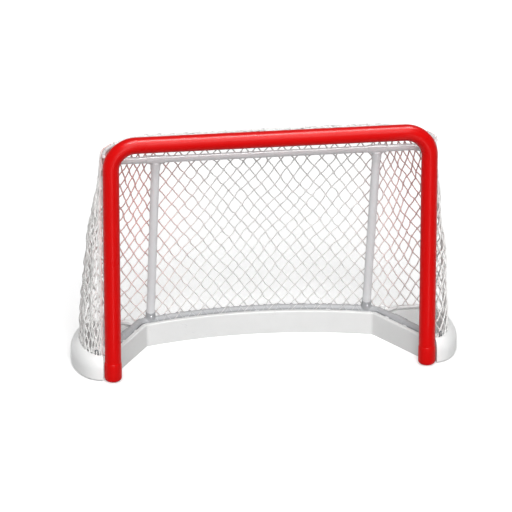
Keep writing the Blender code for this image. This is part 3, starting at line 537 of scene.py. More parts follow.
def at_length(path, along, lengths=None):
    """The point at a length along the path, and the way it runs there."""
    lengths = lengths or run_lengths(path)
    for i in range(len(path) - 1):
        if along <= lengths[i + 1] or i == len(path) - 2:
            ahead = (path[i + 1] - path[i]).normalized()
            return path[i] + ahead * (along - lengths[i]), ahead


def part_of(path, start, end):
    """The stretch of a path between two lengths along it, without points too near its ends."""
    lengths = run_lengths(path)
    margin = 1e-4
    kept = [p for p, along in zip(path, lengths) if start + margin < along < end - margin]
    return [at_length(path, start, lengths)[0]] + kept + [at_length(path, end, lengths)[0]]


moulded_grain, given, result = group(
    "moulded_grain", {"Colour": grey(0.8), "Grain size": 0.0012, "Tone change": 0.05},
    ["Colour", "Height", "Roughness change"])
tree = moulded_grain
place = object_place(tree)
grain = node(tree, "TexVoronoi", {"feature": "SMOOTH_F1"}, Vector=place,
             Scale=maths(tree, "DIVIDE", 1.0, given["Grain size"]), Smoothness=0.6).outputs[0]
flow = noise(tree, place, scale=5.0, detail=3.0, roughness=0.55)
cloud = noise(tree, place, scale=38.0, detail=4.0, roughness=0.6)
change = maths(tree, "SUBTRACT", plus(tree, flow, times(tree, cloud, 0.4)), 0.7)
filled(tree, result, Colour=toned(tree, given["Colour"], change, given["Tone change"]),
       Height=plus(tree, grain, times(tree, cloud, 0.8)),
       Roughness_change=maths(tree, "SUBTRACT", cloud, 0.5))


def moulded(name, base, roughness, grain_depth, rub, rub_colour, dusty=0.1, tone_change=0.05, specular=0.4):
    """A moulded plastic finish: grain, rubs from pucks and dust."""
    made, tree, shader = material(name)
    surface = placed(tree, moulded_grain, Colour=colour(*base), Tone_change=tone_change)
    marks = placed(tree, scuffs, Amount=rub, Size=0.09, Stretch=5.0)
    dusted = placed(tree, dust, Amount=dusty)
    rubbed = mixed(tree, times(tree, marks["Mask"], 0.7), surface["Colour"], colour(*rub_colour))
    filled(tree, shader, Base_Color=mixed(tree, dusted["Mask"], rubbed, colour(0.66, 0.65, 0.63)),
           Roughness=dulled(tree, roughness, (surface["Roughness change"], 0.2), (marks["Mask"], 0.2)),
           Specular_IOR_Level=specular, Normal=relief(tree, surface["Height"], grain_depth))
    return made


board = moulded("wall_board", (0.815, 0.825, 0.82), roughness=0.48, grain_depth=0.00007, rub=0.45,
                rub_colour=(0.42, 0.42, 0.43))
wall_path = wall_line()
wall_lengths = run_lengths(wall_path)
wall_total = wall_lengths[-1]
seam_x = WALL_CORNER_X - WALL_CORNER_RADIUS
seam = [along for p, along in zip(wall_path, wall_lengths) if p.x > seam_x][0]
wall_back = -WALL_THICKNESS
wall_outline = [(0, SEAT)] + quarter((-WALL_EDGE, WALL_HEIGHT - WALL_EDGE), (WALL_EDGE, WALL_EDGE), 0, 90, 8)
back_edge = WALL_EDGE / 2
wall_outline += quarter((wall_back + back_edge, WALL_HEIGHT - back_edge), (back_edge, back_edge), 90, 180, 5)
wall_outline.append((wall_back, SEAT))
for side_name, (start, end) in {"left": (0, wall_total - seam - SEAT), "rear": (wall_total - seam, seam),
                                "right": (seam + SEAT, wall_total)}.items():
    piece(f"kick_board_{side_name}", [skin(part_of(wall_path, start, end), wall_outline, UP)], board,
          f"kick_wall_{side_name}")


# Base tubes
# Steel tube in a worn grey coat, painted a darker grey as shade, in three lengths around the backs of the
# kick walls.
# Two sleeves with set bolts join the lengths, and small wedges hold them off the walls.
TUBE_RADIUS = 0.0127
TUBE_SIDES = 40
SLEEVE_RADIUS = 0.0157
SLEEVE_SIDES = 48
TUBE_OFFSET = WALL_THICKNESS + SEAT + SLEEVE_RADIUS
TUBE_ARC_RADIUS = WALL_ARC_RADIUS + TUBE_OFFSET
ARM_SHIFT = 0.010
ARM_BEND = 0.030
COUPLER_LENGTH = 0.060
COUPLER_FROM_CORNER = 0.110
SLEEVE_EDGE = 0.0008
BOLT_RADIUS = 0.0025
BOLT_CENTRE = 0.0005
BOLT_HEAD_RADIUS = 0.005
BOLT_HEAD_HEIGHT = 0.003
BOLT_HEAD_ROUND = 0.0022
BOLT_HEAD_RIM = 0.0006
BOLT_SIDES = 32
BOLT_DRIVE_RADIUS = 0.0021


def offset(path, distance):
    """A level path moved sideways, to the left of the way it runs."""
    between = [(b - a).normalized() for a, b in zip(path, path[1:])]
    inner = [(a + b).normalized() for a, b in zip(between, between[1:])]
    ways = [between[0]] + inner + [between[-1]]
    return [point + UP.cross(ahead) * distance for point, ahead in zip(path, ways)]


def mirrored(points):
    return [Vector((-p.x, p.y, p.z)) for p in points]


def lifted(path, height):
    return [Vector((p.x, p.y, height)) for p in path]


def tube_line():
    """The base tube's axis, with its two ends led forward to the backs of the posts."""
    behind = lifted(offset(wall_line(), TUBE_OFFSET), TUBE_HEIGHT)
    arm_end = Vector((POST_X + ARM_SHIFT, PIPE_RADIUS + SEAT, TUBE_HEIGHT))
    right = rounded([behind[-2], behind[-1], arm_end], [ARM_BEND], steps=10)[1:]
    return mirrored(right)[::-1] + behind[1:-1] + right


def scratch_object(chunk):
    """A solid that only shapes another one."""
    points, faces, caps, _ = chunk
    mesh = bpy.data.meshes.new("scratch")
    mesh.from_pydata(points.tolist(), [], faces.tolist() + caps)
    return added("scratch", mesh)


def shaped(body, joined=(), cut=(), voxel=None, smoothing=0):
    """A body joined with others, softened as a casting is, then cut. The helpers are removed."""
    for other in joined:
        step = body.modifiers.new("join", "BOOLEAN")
        step.operation = "UNION"
        step.object = other
    if voxel:
        step = body.modifiers.new("cast", "REMESH")
        step.mode = "VOXEL"
        step.voxel_size = voxel
        step = body.modifiers.new("soften", "SMOOTH")
        step.factor = 0.5
        step.iterations = smoothing
    for other in cut:
        step = body.modifiers.new("cut", "BOOLEAN")
        step.operation = "DIFFERENCE"
        step.object = other
    graph = bpy.context.evaluated_depsgraph_get()
    mesh = bpy.data.meshes.new_from_object(body.evaluated_get(graph))
    for used in (body, *joined, *cut):
        bpy.data.objects.remove(used, do_unlink=True)
    mesh.transform(Matrix.Translation((0, -GOAL_MIDDLE_Y, 0)))
    return mesh


def bare_metal(name, base, worn, roughness, tone_change, scuffed, scuff_size, rub_dulls):
    """Plain metal with slow changes of tone, and scuffs that show and dull it."""
    made, tree, shader = material(name)
    surface = placed(tree, paint_film, Colour=colour(*base), Tone_change=tone_change, Ripple_size=0.0008)
    marks = placed(tree, scuffs, Amount=scuffed, Size=scuff_size)
    filled(tree, shader, Base_Color=mixed(tree, marks["Mask"], surface["Colour"], colour(*worn)),
           Roughness=dulled(tree, roughness, (marks["Rub"], rub_dulls)), Metallic=1.0,
           Normal=relief(tree, surface["Height"], 0.00003))
    return made


def set_bolt(name, centre, out, seat_radius, tip_radius, node_name):
    """A button-head bolt with a hexagon socket, through one wall of a sleeve."""
    tip, seat = tip_radius + 2 * SEAT, seat_radius + 2 * SEAT
    top = seat + BOLT_HEAD_HEIGHT
    profile = [(BOLT_CENTRE, tip), (BOLT_RADIUS, tip), (BOLT_RADIUS, seat), (BOLT_HEAD_RADIUS, seat)]
    profile += quarter((BOLT_HEAD_RADIUS - BOLT_HEAD_ROUND, seat + BOLT_HEAD_RIM),
                       (BOLT_HEAD_ROUND, BOLT_HEAD_HEIGHT - BOLT_HEAD_RIM), 0, 90, 6)
    profile.append((BOLT_CENTRE, top))
    drive = [centre + out * (seat + BOLT_HEAD_HEIGHT / 2), centre + out * (seat + 2 * BOLT_HEAD_HEIGHT)]
    mesh = shaped(scratch_object(turned(centre, out, profile, BOLT_SIDES)),
                  cut=[scratch_object(rod(drive, BOLT_DRIVE_RADIUS, 6, UP.cross(out)))])
    dressed(name, mesh, zinc, node_name, sharp_degrees=30)


grey_coat = coated("grey_coat", (0.86, 0.87, 0.885), roughness=0.34, tone_change=0.05, ripple_depth=0.00008,
                   scratch=0.35, dusty=0.15, specular=0.4)
# A darker grey than the frame's: worn, scratched and dusty, and darker still as painted shade, for the base
# tubes, sleeves and lower tees.
worn_shaded_coat = coated("worn_grey_coat_painted_shade", (0.44, 0.45, 0.465), roughness=0.42, tone_change=0.10,
                   ripple_depth=0.00008, scratch=0.7, dusty=0.25, specular=0.3)
zinc = bare_metal("zinc_plate", (0.52, 0.53, 0.55), worn=(0.30, 0.31, 0.33), roughness=0.32,
                  tone_change=0.12, scuffed=0.6, scuff_size=0.01, rub_dulls=0.25)
base_path = tube_line()
base_lengths = run_lengths(base_path)
base_total = base_lengths[-1]
base_corner = [along for p, along in zip(base_path, base_lengths)
               if p.x > WALL_CORNER_X and p.y > WALL_CORNER_Y][-1]
joint = base_corner + COUPLER_FROM_CORNER
left_joint = base_total - joint
spans = {"left": (0, left_joint - SEAT / 2), "rear": (left_joint + SEAT / 2, joint - SEAT / 2),
         "right": (joint + SEAT / 2, base_total)}
for side_name, (start, end) in spans.items():
    piece(f"base_rail_{side_name}", [rod(part_of(base_path, start, end), TUBE_RADIUS, TUBE_SIDES, UP)],
          worn_shaded_coat, f"base_tube_{side_name}")
bore = TUBE_RADIUS + SEAT / 2
half_length = COUPLER_LENGTH / 2
sleeve_profile = [(bore, -half_length), (SLEEVE_RADIUS - SLEEVE_EDGE, -half_length),
                  (SLEEVE_RADIUS, SLEEVE_EDGE - half_length), (SLEEVE_RADIUS, half_length - SLEEVE_EDGE),
                  (SLEEVE_RADIUS - SLEEVE_EDGE, half_length), (bore, half_length)]
last_ring = SLEEVE_SIDES * (len(sleeve_profile) - 1)
inner_faces = np.array([[i, last_ring + i, last_ring + (i + 1) % SLEEVE_SIDES, (i + 1) % SLEEVE_SIDES]
                        for i in range(SLEEVE_SIDES)])
for side_name, middle, way in (("left", left_joint, -1), ("right", joint, 1)):
    centre, ahead = at_length(base_path, middle)
    points, faces, _, marks = turned(centre, ahead, sleeve_profile, SLEEVE_SIDES)
    sleeve = (points, np.concatenate([faces, inner_faces]), [],
              np.concatenate([marks, np.zeros((SLEEVE_SIDES, 4, 2))]))
    piece(f"base_sleeve_{side_name}", [sleeve], worn_shaded_coat, f"base_coupler_{side_name}",
          sharp_degrees=30)
    out = UP.cross(ahead).normalized()
    for place_name, shift in (("front", way * 0.5), ("rear", way * -0.5)):
        set_bolt(f"sleeve_screw_{side_name}_{place_name}", centre + ahead * half_length * shift, out,
                 SLEEVE_RADIUS, TUBE_RADIUS, f"coupler_bolt_{side_name}_{place_name}")
for node_name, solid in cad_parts.items():
    if node_name.startswith("wall_saddle"):
        solid.data.materials.clear()
        solid.data.materials.append(grey_coat)


# Rear frame
# Thinner steel tube in a light grey powder coat: a rail bent forward to the posts under the crossbar,
# and two straight posts that lean back from it to the base. They sit in cast tees, each held by a set
# bolt, and the lower tees are as worn as the base tubes, and painted as dark as them for shade.
RAIL_HEIGHT = CROSSBAR_Z - 0.10115
RAIL_DEPTH = 0.113
RAIL_BEND = 0.055
REAR_POST_RADIUS = 0.0159
REAR_POST_X = POST_X - 0.17515
SOCKET_WALL = 0.0022
SOCKET_START = 0.009
SOCKET_LENGTH = 0.045
SOCKET_RADIUS = REAR_POST_RADIUS + SEAT + SOCKET_WALL
RAIL_TEE_HALF = 0.034
BASE_TEE_HALF = 0.022
WEB_THICKNESS = 0.011
WEB_INSET = 0.0015
CAST_GRAIN = 0.0011
CAST_SMOOTHING = 6
rail_ends = [Vector((x, PIPE_RADIUS + SEAT, RAIL_HEIGHT)) for x in (-POST_X, POST_X)]
rail_bends = [Vector((x, RAIL_DEPTH, RAIL_HEIGHT)) for x in (-POST_X, POST_X)]
rail_path = rounded([rail_ends[0], *rail_bends, rail_ends[1]], [RAIL_BEND, RAIL_BEND], steps=20)
piece("rear_rail_tube", [rod(rail_path, TUBE_RADIUS, TUBE_SIDES, UP)], grey_coat, "rear_rail")


def base_tube_at(x):
    """The point of the base tube's axis at a distance from the middle, and the way it runs there."""
    for a, b in zip(base_path, base_path[1:]):
        if a.x <= x < b.x:
            point = a.lerp(b, (x - a.x) / (b.x - a.x))
            ahead = (b - a).normalized()
    return point, ahead


def flipped(outline):
    return [(-u, v) for u, v in outline]


def web_outline(half_length):
    """The rib of a tee: a flat foot along the sleeve, and a fillet up to each side of the socket."""
    end = half_length - WEB_INSET
    fillet = end - REAR_POST_RADIUS - WEB_INSET
    right = quarter((end, SLEEVE_RADIUS - WEB_INSET + fillet), (fillet, fillet), -90, -180, 14)
    return [(-end, WEB_INSET), (end, WEB_INSET)] + right + flipped(right[::-1])


def tee_bar(centre, way, start, end, radius, level):
    """A round bar for shaping a tee, between two distances from its centre."""
    return scratch_object(rod([centre + way * start, centre + way * end], radius, SLEEVE_SIDES, level))


for side_name, sign in SIDES:
    low, along = base_tube_at(sign * REAR_POST_X)
    high = Vector((sign * REAR_POST_X, RAIL_DEPTH, RAIL_HEIGHT))
    rise = (high - low).normalized()
    inset = rise * (SLEEVE_RADIUS + SEAT)
    piece(f"rear_post_tube_{side_name}",
          [rod([low + inset, high - inset], REAR_POST_RADIUS, TUBE_SIDES, ACROSS)],
          grey_coat, f"rear_post_{side_name}")
    for tee_name, centre, run, post_way, half_length, bolt_way, finish in (
            ("rail_tee", high, ACROSS, -rise, RAIL_TEE_HALF, BACK, grey_coat),
            ("base_tee", low, along, rise, BASE_TEE_HALF, -BACK, worn_shaded_coat)):
        across = run.cross(post_way).normalized()
        web_half = across * WEB_THICKNESS / 2
        body = tee_bar(centre, run, -half_length, half_length, SLEEVE_RADIUS, across)
        socket = tee_bar(centre, post_way, SOCKET_START, SOCKET_LENGTH, SOCKET_RADIUS, across)
        web = scratch_object(skin([centre - web_half, centre + web_half], flipped(web_outline(half_length)),
                                  across.cross(run)))
        bore = tee_bar(centre, run, -2 * half_length, 2 * half_length, TUBE_RADIUS + SEAT, across)
        post_bore = tee_bar(centre, post_way, SLEEVE_RADIUS - SEAT, 2 * SOCKET_LENGTH,
                            REAR_POST_RADIUS + SEAT, across)
        mesh = shaped(body, [web, socket], [bore, post_bore], CAST_GRAIN, CAST_SMOOTHING)
        dressed(f"{tee_name}_cast_{side_name}", mesh, finish, f"{tee_name}_{side_name}",
                sharp_degrees=50)
        out = (bolt_way - post_way * bolt_way.dot(post_way)).normalized()
        bolt_at = centre + post_way * (SOCKET_LENGTH + SLEEVE_RADIUS) / 2
        set_bolt(f"{tee_name}_screw_{side_name}", bolt_at, out, SOCKET_RADIUS, REAR_POST_RADIUS,
                 f"{tee_name}_{side_name}_bolt")


# Side bows
# A thin white painted rod on each side, which carries the foot of the net outward past the post.
# It springs from the base tube behind the rear corner and comes back to it behind the post.
BOW_RADIUS = 0.00635
BOW_REAR_BEND = 0.040
ROD_SIDES = 24
FLARE_X = POST_X + 0.02585
FLARE_Y = 0.170
FLARE_OUT = 0.063
FLARE_FRONT_Y = 0.042
white_coat = coated("white_coat", (0.80, 0.80, 0.80), roughness=0.34, tone_change=0.05,
                    ripple_depth=0.00006, scratch=0.3, dusty=0.15, specular=0.4)


def rear_tube_y(x):
    """How far back the arc of the base tube's axis is at a distance from the middle."""
    return ARC_CENTRE_Y + math.sqrt(TUBE_ARC_RADIUS ** 2 - x ** 2)


def flare(margin):
    """The right side bow's line from its rear to the post, or a line outside it by the margin."""
    steps = 26
    rear_y = rear_tube_y(WALL_CORNER_X)
    size_rear = (FLARE_OUT + margin, rear_y - FLARE_Y + margin)
    size_front = (FLARE_OUT + margin, FLARE_Y - FLARE_FRONT_Y + margin)
    rear = quarter((FLARE_X, FLARE_Y), size_rear, 90, 0, steps)
    front = quarter((FLARE_X, FLARE_Y), size_front, 0, -90, steps)
    return [Vector((u, v, 0)) for u, v in rear + front[1:]]


def both_sides(points):
    """The points as they are for the right side, and mirrored for the left."""
    return ("right", points), ("left", mirrored(points))


root, ahead = at_length(base_path, base_corner + 2 * BOW_RADIUS)
out = UP.cross(ahead).normalized()
start = root + out * (TUBE_RADIUS + SEAT)
curve = lifted(flare(0), TUBE_HEIGHT)
bend = start + out * (curve[0].y - start.y) / out.y
arm_x = POST_X + ARM_SHIFT + TUBE_RADIUS + 2 * SEAT
bow_path = rounded([start, bend, curve[0]], [BOW_REAR_BEND], steps=12)[:-1] + curve[:-1]
bow_path += [Vector((x, FLARE_FRONT_Y, TUBE_HEIGHT)) for x in (FLARE_X, arm_x)]
for side_name, path in both_sides(bow_path):
    piece(f"foot_bow_{side_name}", [rod(path, BOW_RADIUS, ROD_SIDES, UP)], white_coat,
          f"side_bow_{side_name}")


# Bumpers
# Thick white mouldings around the outside of the base, with a full rounded shoulder and a tight foot edge.
# The rear one ends just past the rear corners, and each side one runs on to the post.
BUMPER_REACH = 0.048
BUMPER_HEIGHT = TUBE_HEIGHT + 0.0023
BUMPER_SHOULDER = 0.044
BUMPER_STEP = 0.0015
BUMPER_FOOT_EDGE = 0.010
BUMPER_SEAM_SHIFT = 0.055
BUMPER_TURN_Y = 0.075
CORD_RADIUS = 0.00125
LACING_GAP = 0.0005
LACING_POINTS = 8
NET_THICKNESS = 0.002
NET_LIFT = CORD_RADIUS + SEAT + NET_THICKNESS / 2
NET_LEAN = 0.0024
vinyl = moulded("bumper_vinyl", (0.92, 0.925, 0.92), roughness=0.34, grain_depth=0.00005, rub=0.25,
                rub_colour=(0.60, 0.60, 0.60), dusty=0.08, tone_change=0.03, specular=0.45)


def cord_reach(rod_radius):
    """How far from a rod's axis the middle of a cord runs that winds round it in straight steps."""
    return (rod_radius + LACING_GAP + CORD_RADIUS) * (1 / math.cos(math.pi / LACING_POINTS))


REAR_NET_OFFSET = 0.021
SIDE_NET_OFFSET = cord_reach(BOW_RADIUS) + NET_LIFT + NET_LEAN


def bumper_outline(rod_radius, inner, net_offset):
    """A rounded section with a rebate for the rod and the net. u runs outward from the rod's axis, v up."""
    ledge = TUBE_HEIGHT - cord_reach(rod_radius) - CORD_RADIUS - SEAT
    face = net_offset + NET_THICKNESS / 2 + SEAT
    shoulder = (BUMPER_REACH - face, BUMPER_HEIGHT - BUMPER_SHOULDER)
    crown = quarter((face, BUMPER_SHOULDER), shoulder, 90, 0, 18)
    edge = (BUMPER_FOOT_EDGE, BUMPER_FOOT_EDGE)
    foot = quarter((BUMPER_REACH - BUMPER_FOOT_EDGE, BUMPER_FOOT_EDGE), edge, 0, -90, 6)
    rebate = [(-inner, 0), (-inner, ledge), (face, ledge), (face, BUMPER_HEIGHT - BUMPER_STEP)]
    return rebate + crown[1:] + foot


arc_steps, turn_steps = 30, 14
arc_xs = [WALL_CORNER_X * i / arc_steps for i in range(arc_steps)] + [WALL_CORNER_X]
half_line = [Vector((x, rear_tube_y(x), 0)) for x in arc_xs] + flare(0)
half_lengths = run_lengths(half_line)
corner_at = [along for p, along in zip(half_line, half_lengths) if p.x >= WALL_CORNER_X - 1e-9][0]
seam_at = corner_at + BUMPER_SEAM_SHIFT
to_seam = part_of(half_line, 0, seam_at - SEAT)
past_seam = part_of(half_line, seam_at + SEAT, half_lengths[-1])
front = Vector((POST_X + BOOT_RADIUS + 4 * SEAT, FLARE_FRONT_Y, 0))
kept = [p for p in past_seam if p.y > BUMPER_TURN_Y]
ahead = (kept[-1] - kept[-2]).normalized()
knee = kept[-1] + ahead * (FLARE_FRONT_Y - kept[-1].y) / ahead.y
shares = [i / turn_steps for i in range(1, turn_steps + 1)]
side_line = kept + [kept[-1] * (1 - t) ** 2 + knee * 2 * t * (1 - t) + front * t ** 2 for t in shares]
rear_outline = bumper_outline(TUBE_RADIUS, SLEEVE_RADIUS, REAR_NET_OFFSET)
side_outline = bumper_outline(BOW_RADIUS, cord_reach(BOW_RADIUS) + CORD_RADIUS, SIDE_NET_OFFSET)
for name, node_name, path, outline in (
        ("bumper_back", "bumper_rear", mirrored(to_seam[1:])[::-1] + to_seam, flipped(rear_outline)),
        ("bumper_side_right", "bumper_right", side_line, flipped(side_outline)),
        ("bumper_side_left", "bumper_left", mirrored(side_line), side_outline)):
    piece(name, [skin(path, outline, UP)], vinyl, node_name)


# Net bow and lacing rods
# A white painted steel rod, bent to a flat bow behind the crossbar, carries the top of the net, and
# three thin rods on short pins behind the posts and the crossbar take the lacing of its front edges.
NET_BOW_RADIUS = 0.006
NET_BOW_HEIGHT = CROSSBAR_Z - 0.03715
NET_BOW_DEPTH = 0.170
NET_BOW_SQUARENESS = 7.0
NET_BOW_END_Y = 0.004
NET_BOW_OFFSET = cord_reach(NET_BOW_RADIUS) + NET_LIFT + SEAT
ROD_RADIUS = 0.004
ROD_STANDOFF = 0.0085
ROD_OUT = 0.0245
ROD_BEHIND = PIPE_RADIUS + ROD_STANDOFF + ROD_RADIUS
ROD_BOTTOM = TUBE_HEIGHT + 0.0293
ROD_TOP = CROSSBAR_Z - 0.12515
ROD_TOP_HALF = POST_X - 0.12015
PIN_RADIUS = 0.003
PIN_SIDES = 20
PIN_COUNT = 4
LACING_PITCH = 0.090
pipe_gap = PIPE_RADIUS + NET_BOW_RADIUS + SEAT
pipe_reach = PIPE_BEND + math.sqrt(pipe_gap ** 2 - NET_BOW_END_Y ** 2)
bow_rise = NET_BOW_HEIGHT - CROSSBAR_Z + PIPE_BEND
bow_half_width = POST_X - PIPE_BEND + math.sqrt(pipe_reach ** 2 - bow_rise ** 2)


def whole(half_path):
    """A path from the right end to the middle, carried on to the left end."""
    return half_path + mirrored(half_path[:-1])[::-1]


def net_bow_line(out=0.0, start_y=NET_BOW_END_Y):
    """Half of a squared-off ellipse, from the right end to the middle, or a line outside it."""
    steps = 64
    path = []
    first = math.asin(min(1.0, start_y / NET_BOW_DEPTH))
    for i in range(steps + 1):
        turn = first + (math.pi / 2 - first) * i / steps
        x = bow_half_width * math.cos(turn) ** (2 / NET_BOW_SQUARENESS) if i < steps else 0.0
        path.append(Vector((x, NET_BOW_DEPTH * math.sin(turn), NET_BOW_HEIGHT)))
    return offset(whole(path), -out)[:steps + 1] if out else path


def net_bow_y(x):
    return NET_BOW_DEPTH * math.sqrt(1 - (abs(x) / bow_half_width) ** NET_BOW_SQUARENESS)


piece("net_hoop", [rod(whole(net_bow_line()), NET_BOW_RADIUS, ROD_SIDES, UP)], white_coat,
      "net_bow")


def pinned(name, low, high, towards, node_name):
    """A thin rod with short pins, between turns of its lacing, that hold it off the pipe."""
    turns = (high - low).length / LACING_PITCH
    body = scratch_object(rod([low, high], ROD_RADIUS, ROD_SIDES, towards))
    pins = []
    for i in range(PIN_COUNT):
        along = (round((i + 0.5) * turns / PIN_COUNT - 0.5) + 0.5) * LACING_PITCH
        foot = low + (high - low).normalized() * along
        tip = foot + towards * (ROD_RADIUS + ROD_STANDOFF - SEAT)
        pins.append(scratch_object(rod([foot, tip], PIN_RADIUS, PIN_SIDES)))
    dressed(name, shaped(body, pins), white_coat, node_name, sharp_degrees=40)


rod_spot = Vector((POST_X + ROD_OUT, math.sqrt(ROD_BEHIND ** 2 - ROD_OUT ** 2), 0))
to_post = Vector((POST_X - rod_spot.x, -rod_spot.y, 0)).normalized()
rod_low, rod_high = [lifted([rod_spot], height)[0] for height in (ROD_BOTTOM, ROD_TOP)]
for side_name, spots in both_sides([rod_low, rod_high, to_post]):
    pinned(f"lacing_bar_{side_name}", *spots, f"lacing_rod_{side_name}")
top_left, top_right = [Vector((x, ROD_BEHIND, CROSSBAR_Z)) for x in (-ROD_TOP_HALF, ROD_TOP_HALF)]
pinned("lacing_bar_top", top_left, top_right, -BACK, "lacing_rod_top")


# Netting
# Knotted white twine, 5 mm thick, in diamond meshes about 48 mm wide and 69 mm high, a little slack and
# uneven. It hangs from the net bow and the lacing rods and is drawn down to the base tube and side bows.
# The side panels are gathered, with narrow meshes in folds, and red light from the posts is painted onto the
# twine near them.
TWINE_RADIUS = 0.0026
TWINE_SIDES = 6
TWINE_SLACK = 0.0034
KNOT_SIZE = 0.0019
KNOT_TWINE = 0.0014
KNOT_STEPS = 18
KNOT_SIDES = 5
NET_ROWS = 12
BACK_MESHES = 17
RIGHT_MESHES = 13
LEFT_MESHES = 18
LEFT_CROWDING = 1.8
TOP_MESHES = 24
TOP_ROWS = 3
net_draw = np.random.default_rng(11)
# The cord's twist: its relief, and a mask of the creases between its strands, which the cord colours use to
# paint shade into them.
twisted_cord, given, result = group(
    "twisted_cord", {"Strands": 3.0, "Lay": 0.012, "Fuzz": 0.3}, ["Height", "Crease"])
tree = twisted_cord
run = node(tree, "SeparateXYZ", Vector=node(tree, "UVMap", {"uv_map": "run"}).outputs[0])
spiral = plus(tree, times(tree, run.outputs["X"], given["Strands"]),
              maths(tree, "DIVIDE", run.outputs["Y"], given["Lay"]))
wave = maths(tree, "ABSOLUTE", maths(tree, "SINE", times(tree, spiral, math.pi)))
fibre = noise(tree, object_place(tree), scale=1400.0, detail=3.0)
filled(tree, result, Height=plus(tree, wave, times(tree, fibre, given["Fuzz"])),
       Crease=spread(tree, wave, 0.0, 0.45, 1.0, 0.0))


def painted_post_glow(tree, place):
    """A mask of painted red light from the posts on the twine inside the goal: near them, forward, and more
    so higher up.
    """
    part = node(tree, "SeparateXYZ", Vector=place).outputs
    lopsided = maths(tree, "ABSOLUTE", maths(tree, "SUBTRACT", part["X"], 0.07))
    near = spread(tree, lopsided, 0.22, 0.55)
    high_up = spread(tree, part["Z"], 0.05, 0.50, 0.32, 1.0)
    forward = spread(tree, part["Y"], -0.05, 0.20, 1.0, 0.55)
    inside = spread(tree, maths(tree, "ABSOLUTE", part["X"]), 0.585, 0.625, 1.0, 0.0)
    return times(tree, times(tree, times(tree, near, high_up), forward), inside)


def corded(name, base, crease_shade_colour, lay, post_glow_colour=None):
    """Twisted synthetic twine, with painted shade in the creases between its strands, and painted red light
    from the posts when its colour is given.
    """
    made, tree, shader = material(name)
    twist = placed(tree, twisted_cord, Lay=lay)
    place = object_place(tree)
    slow = noise(tree, place, scale=14.0, detail=3.0)
    tone = node(tree, "HueSaturation", Color=colour(*base),
                Value=plus(tree, 0.86, times(tree, slow, 0.28))).outputs[0]
    # Painted shade: the creases between the strands are darkened in the colour.
    shade = mixed(tree, times(tree, twist["Crease"], 0.6), tone, colour(*crease_shade_colour))
    # Painted reflection: red light from the posts, multiplied into the twine colour near them.
    if post_glow_colour:
        shade = mixed(tree, painted_post_glow(tree, place), shade, colour(*post_glow_colour), "MULTIPLY")
    filled(tree, shader, Base_Color=shade, Roughness=spread(tree, slow, 0.3, 0.7, 0.62, 0.85),
           Specular_IOR_Level=0.3, Sheen_Weight=0.15, Normal=relief(tree, twist["Height"], 0.0004))
    return made


# Both twines have painted shade in their creases; the net's twine also has painted red light from the posts.
net_twine = corded("net_cord", (0.90, 0.90, 0.885), crease_shade_colour=(0.75, 0.75, 0.74), lay=0.012,
                   post_glow_colour=(1.0, 0.58, 0.56))
clear_twine = corded("clear_net_cord", (0.93, 0.935, 0.925), crease_shade_colour=(0.78, 0.79, 0.78), lay=0.012)


def even(path, count, crowding):
    """Points along a path at even lengths, or crowded towards its start, as rows of numbers."""
    path = np.array([tuple(p) for p in path], float)
    lengths = lengths_along(path)
    wanted = lengths[-1] * np.linspace(0, 1, count) ** crowding
    return np.stack([np.interp(wanted, lengths, path[:, k]) for k in range(3)], axis=1)


def eased(values):
    """The whole number under each value, and the rest of it, eased."""
    base = np.floor(values).astype(int)
    part = values - base
    return base, part * part * (3 - 2 * part)


def slow_waves(shape, across_count, down_count):
    """A smooth random field on a grid, about -1 to 1."""
    high, wide = shape
    seeds = net_draw.normal(size=(down_count + 3, across_count + 3))
    r, rt = eased(np.linspace(0, down_count, high))
    c, ct = eased(np.linspace(0, across_count, wide))
    ct, rt = ct[None, :], rt[:, None]
    above = seeds[r][:, c] * (1 - ct) + seeds[r][:, c + 1] * ct
    below = seeds[r + 1][:, c] * (1 - ct) + seeds[r + 1][:, c + 1] * ct
    return above * (1 - rt) + below * rt


def knot_skin():
    """A small trefoil of twine, which stands for a pulled-down netting knot."""
    turns = np.linspace(0, 2 * math.pi, KNOT_STEPS, endpoint=False)
    path = np.stack([np.sin(turns) + 2 * np.sin(2 * turns), np.cos(turns) - 2 * np.cos(2 * turns),
                     -np.sin(3 * turns)], axis=1) * KNOT_SIZE * (0.42, 0.55, 0.60)
    ahead = unit(np.roll(path, -1, axis=0) - np.roll(path, 1, axis=0))
    side = unit(np.cross(ahead, path + (0, 0, 1e-4)))
    points = carried(path, side, np.cross(side, ahead), np.array(circle(KNOT_TWINE, KNOT_SIDES)))
    faces, marks = ring_faces(KNOT_SIDES, lengths_along(np.vstack([path, path[:1]])), KNOT_STEPS)
    return points, faces, marks


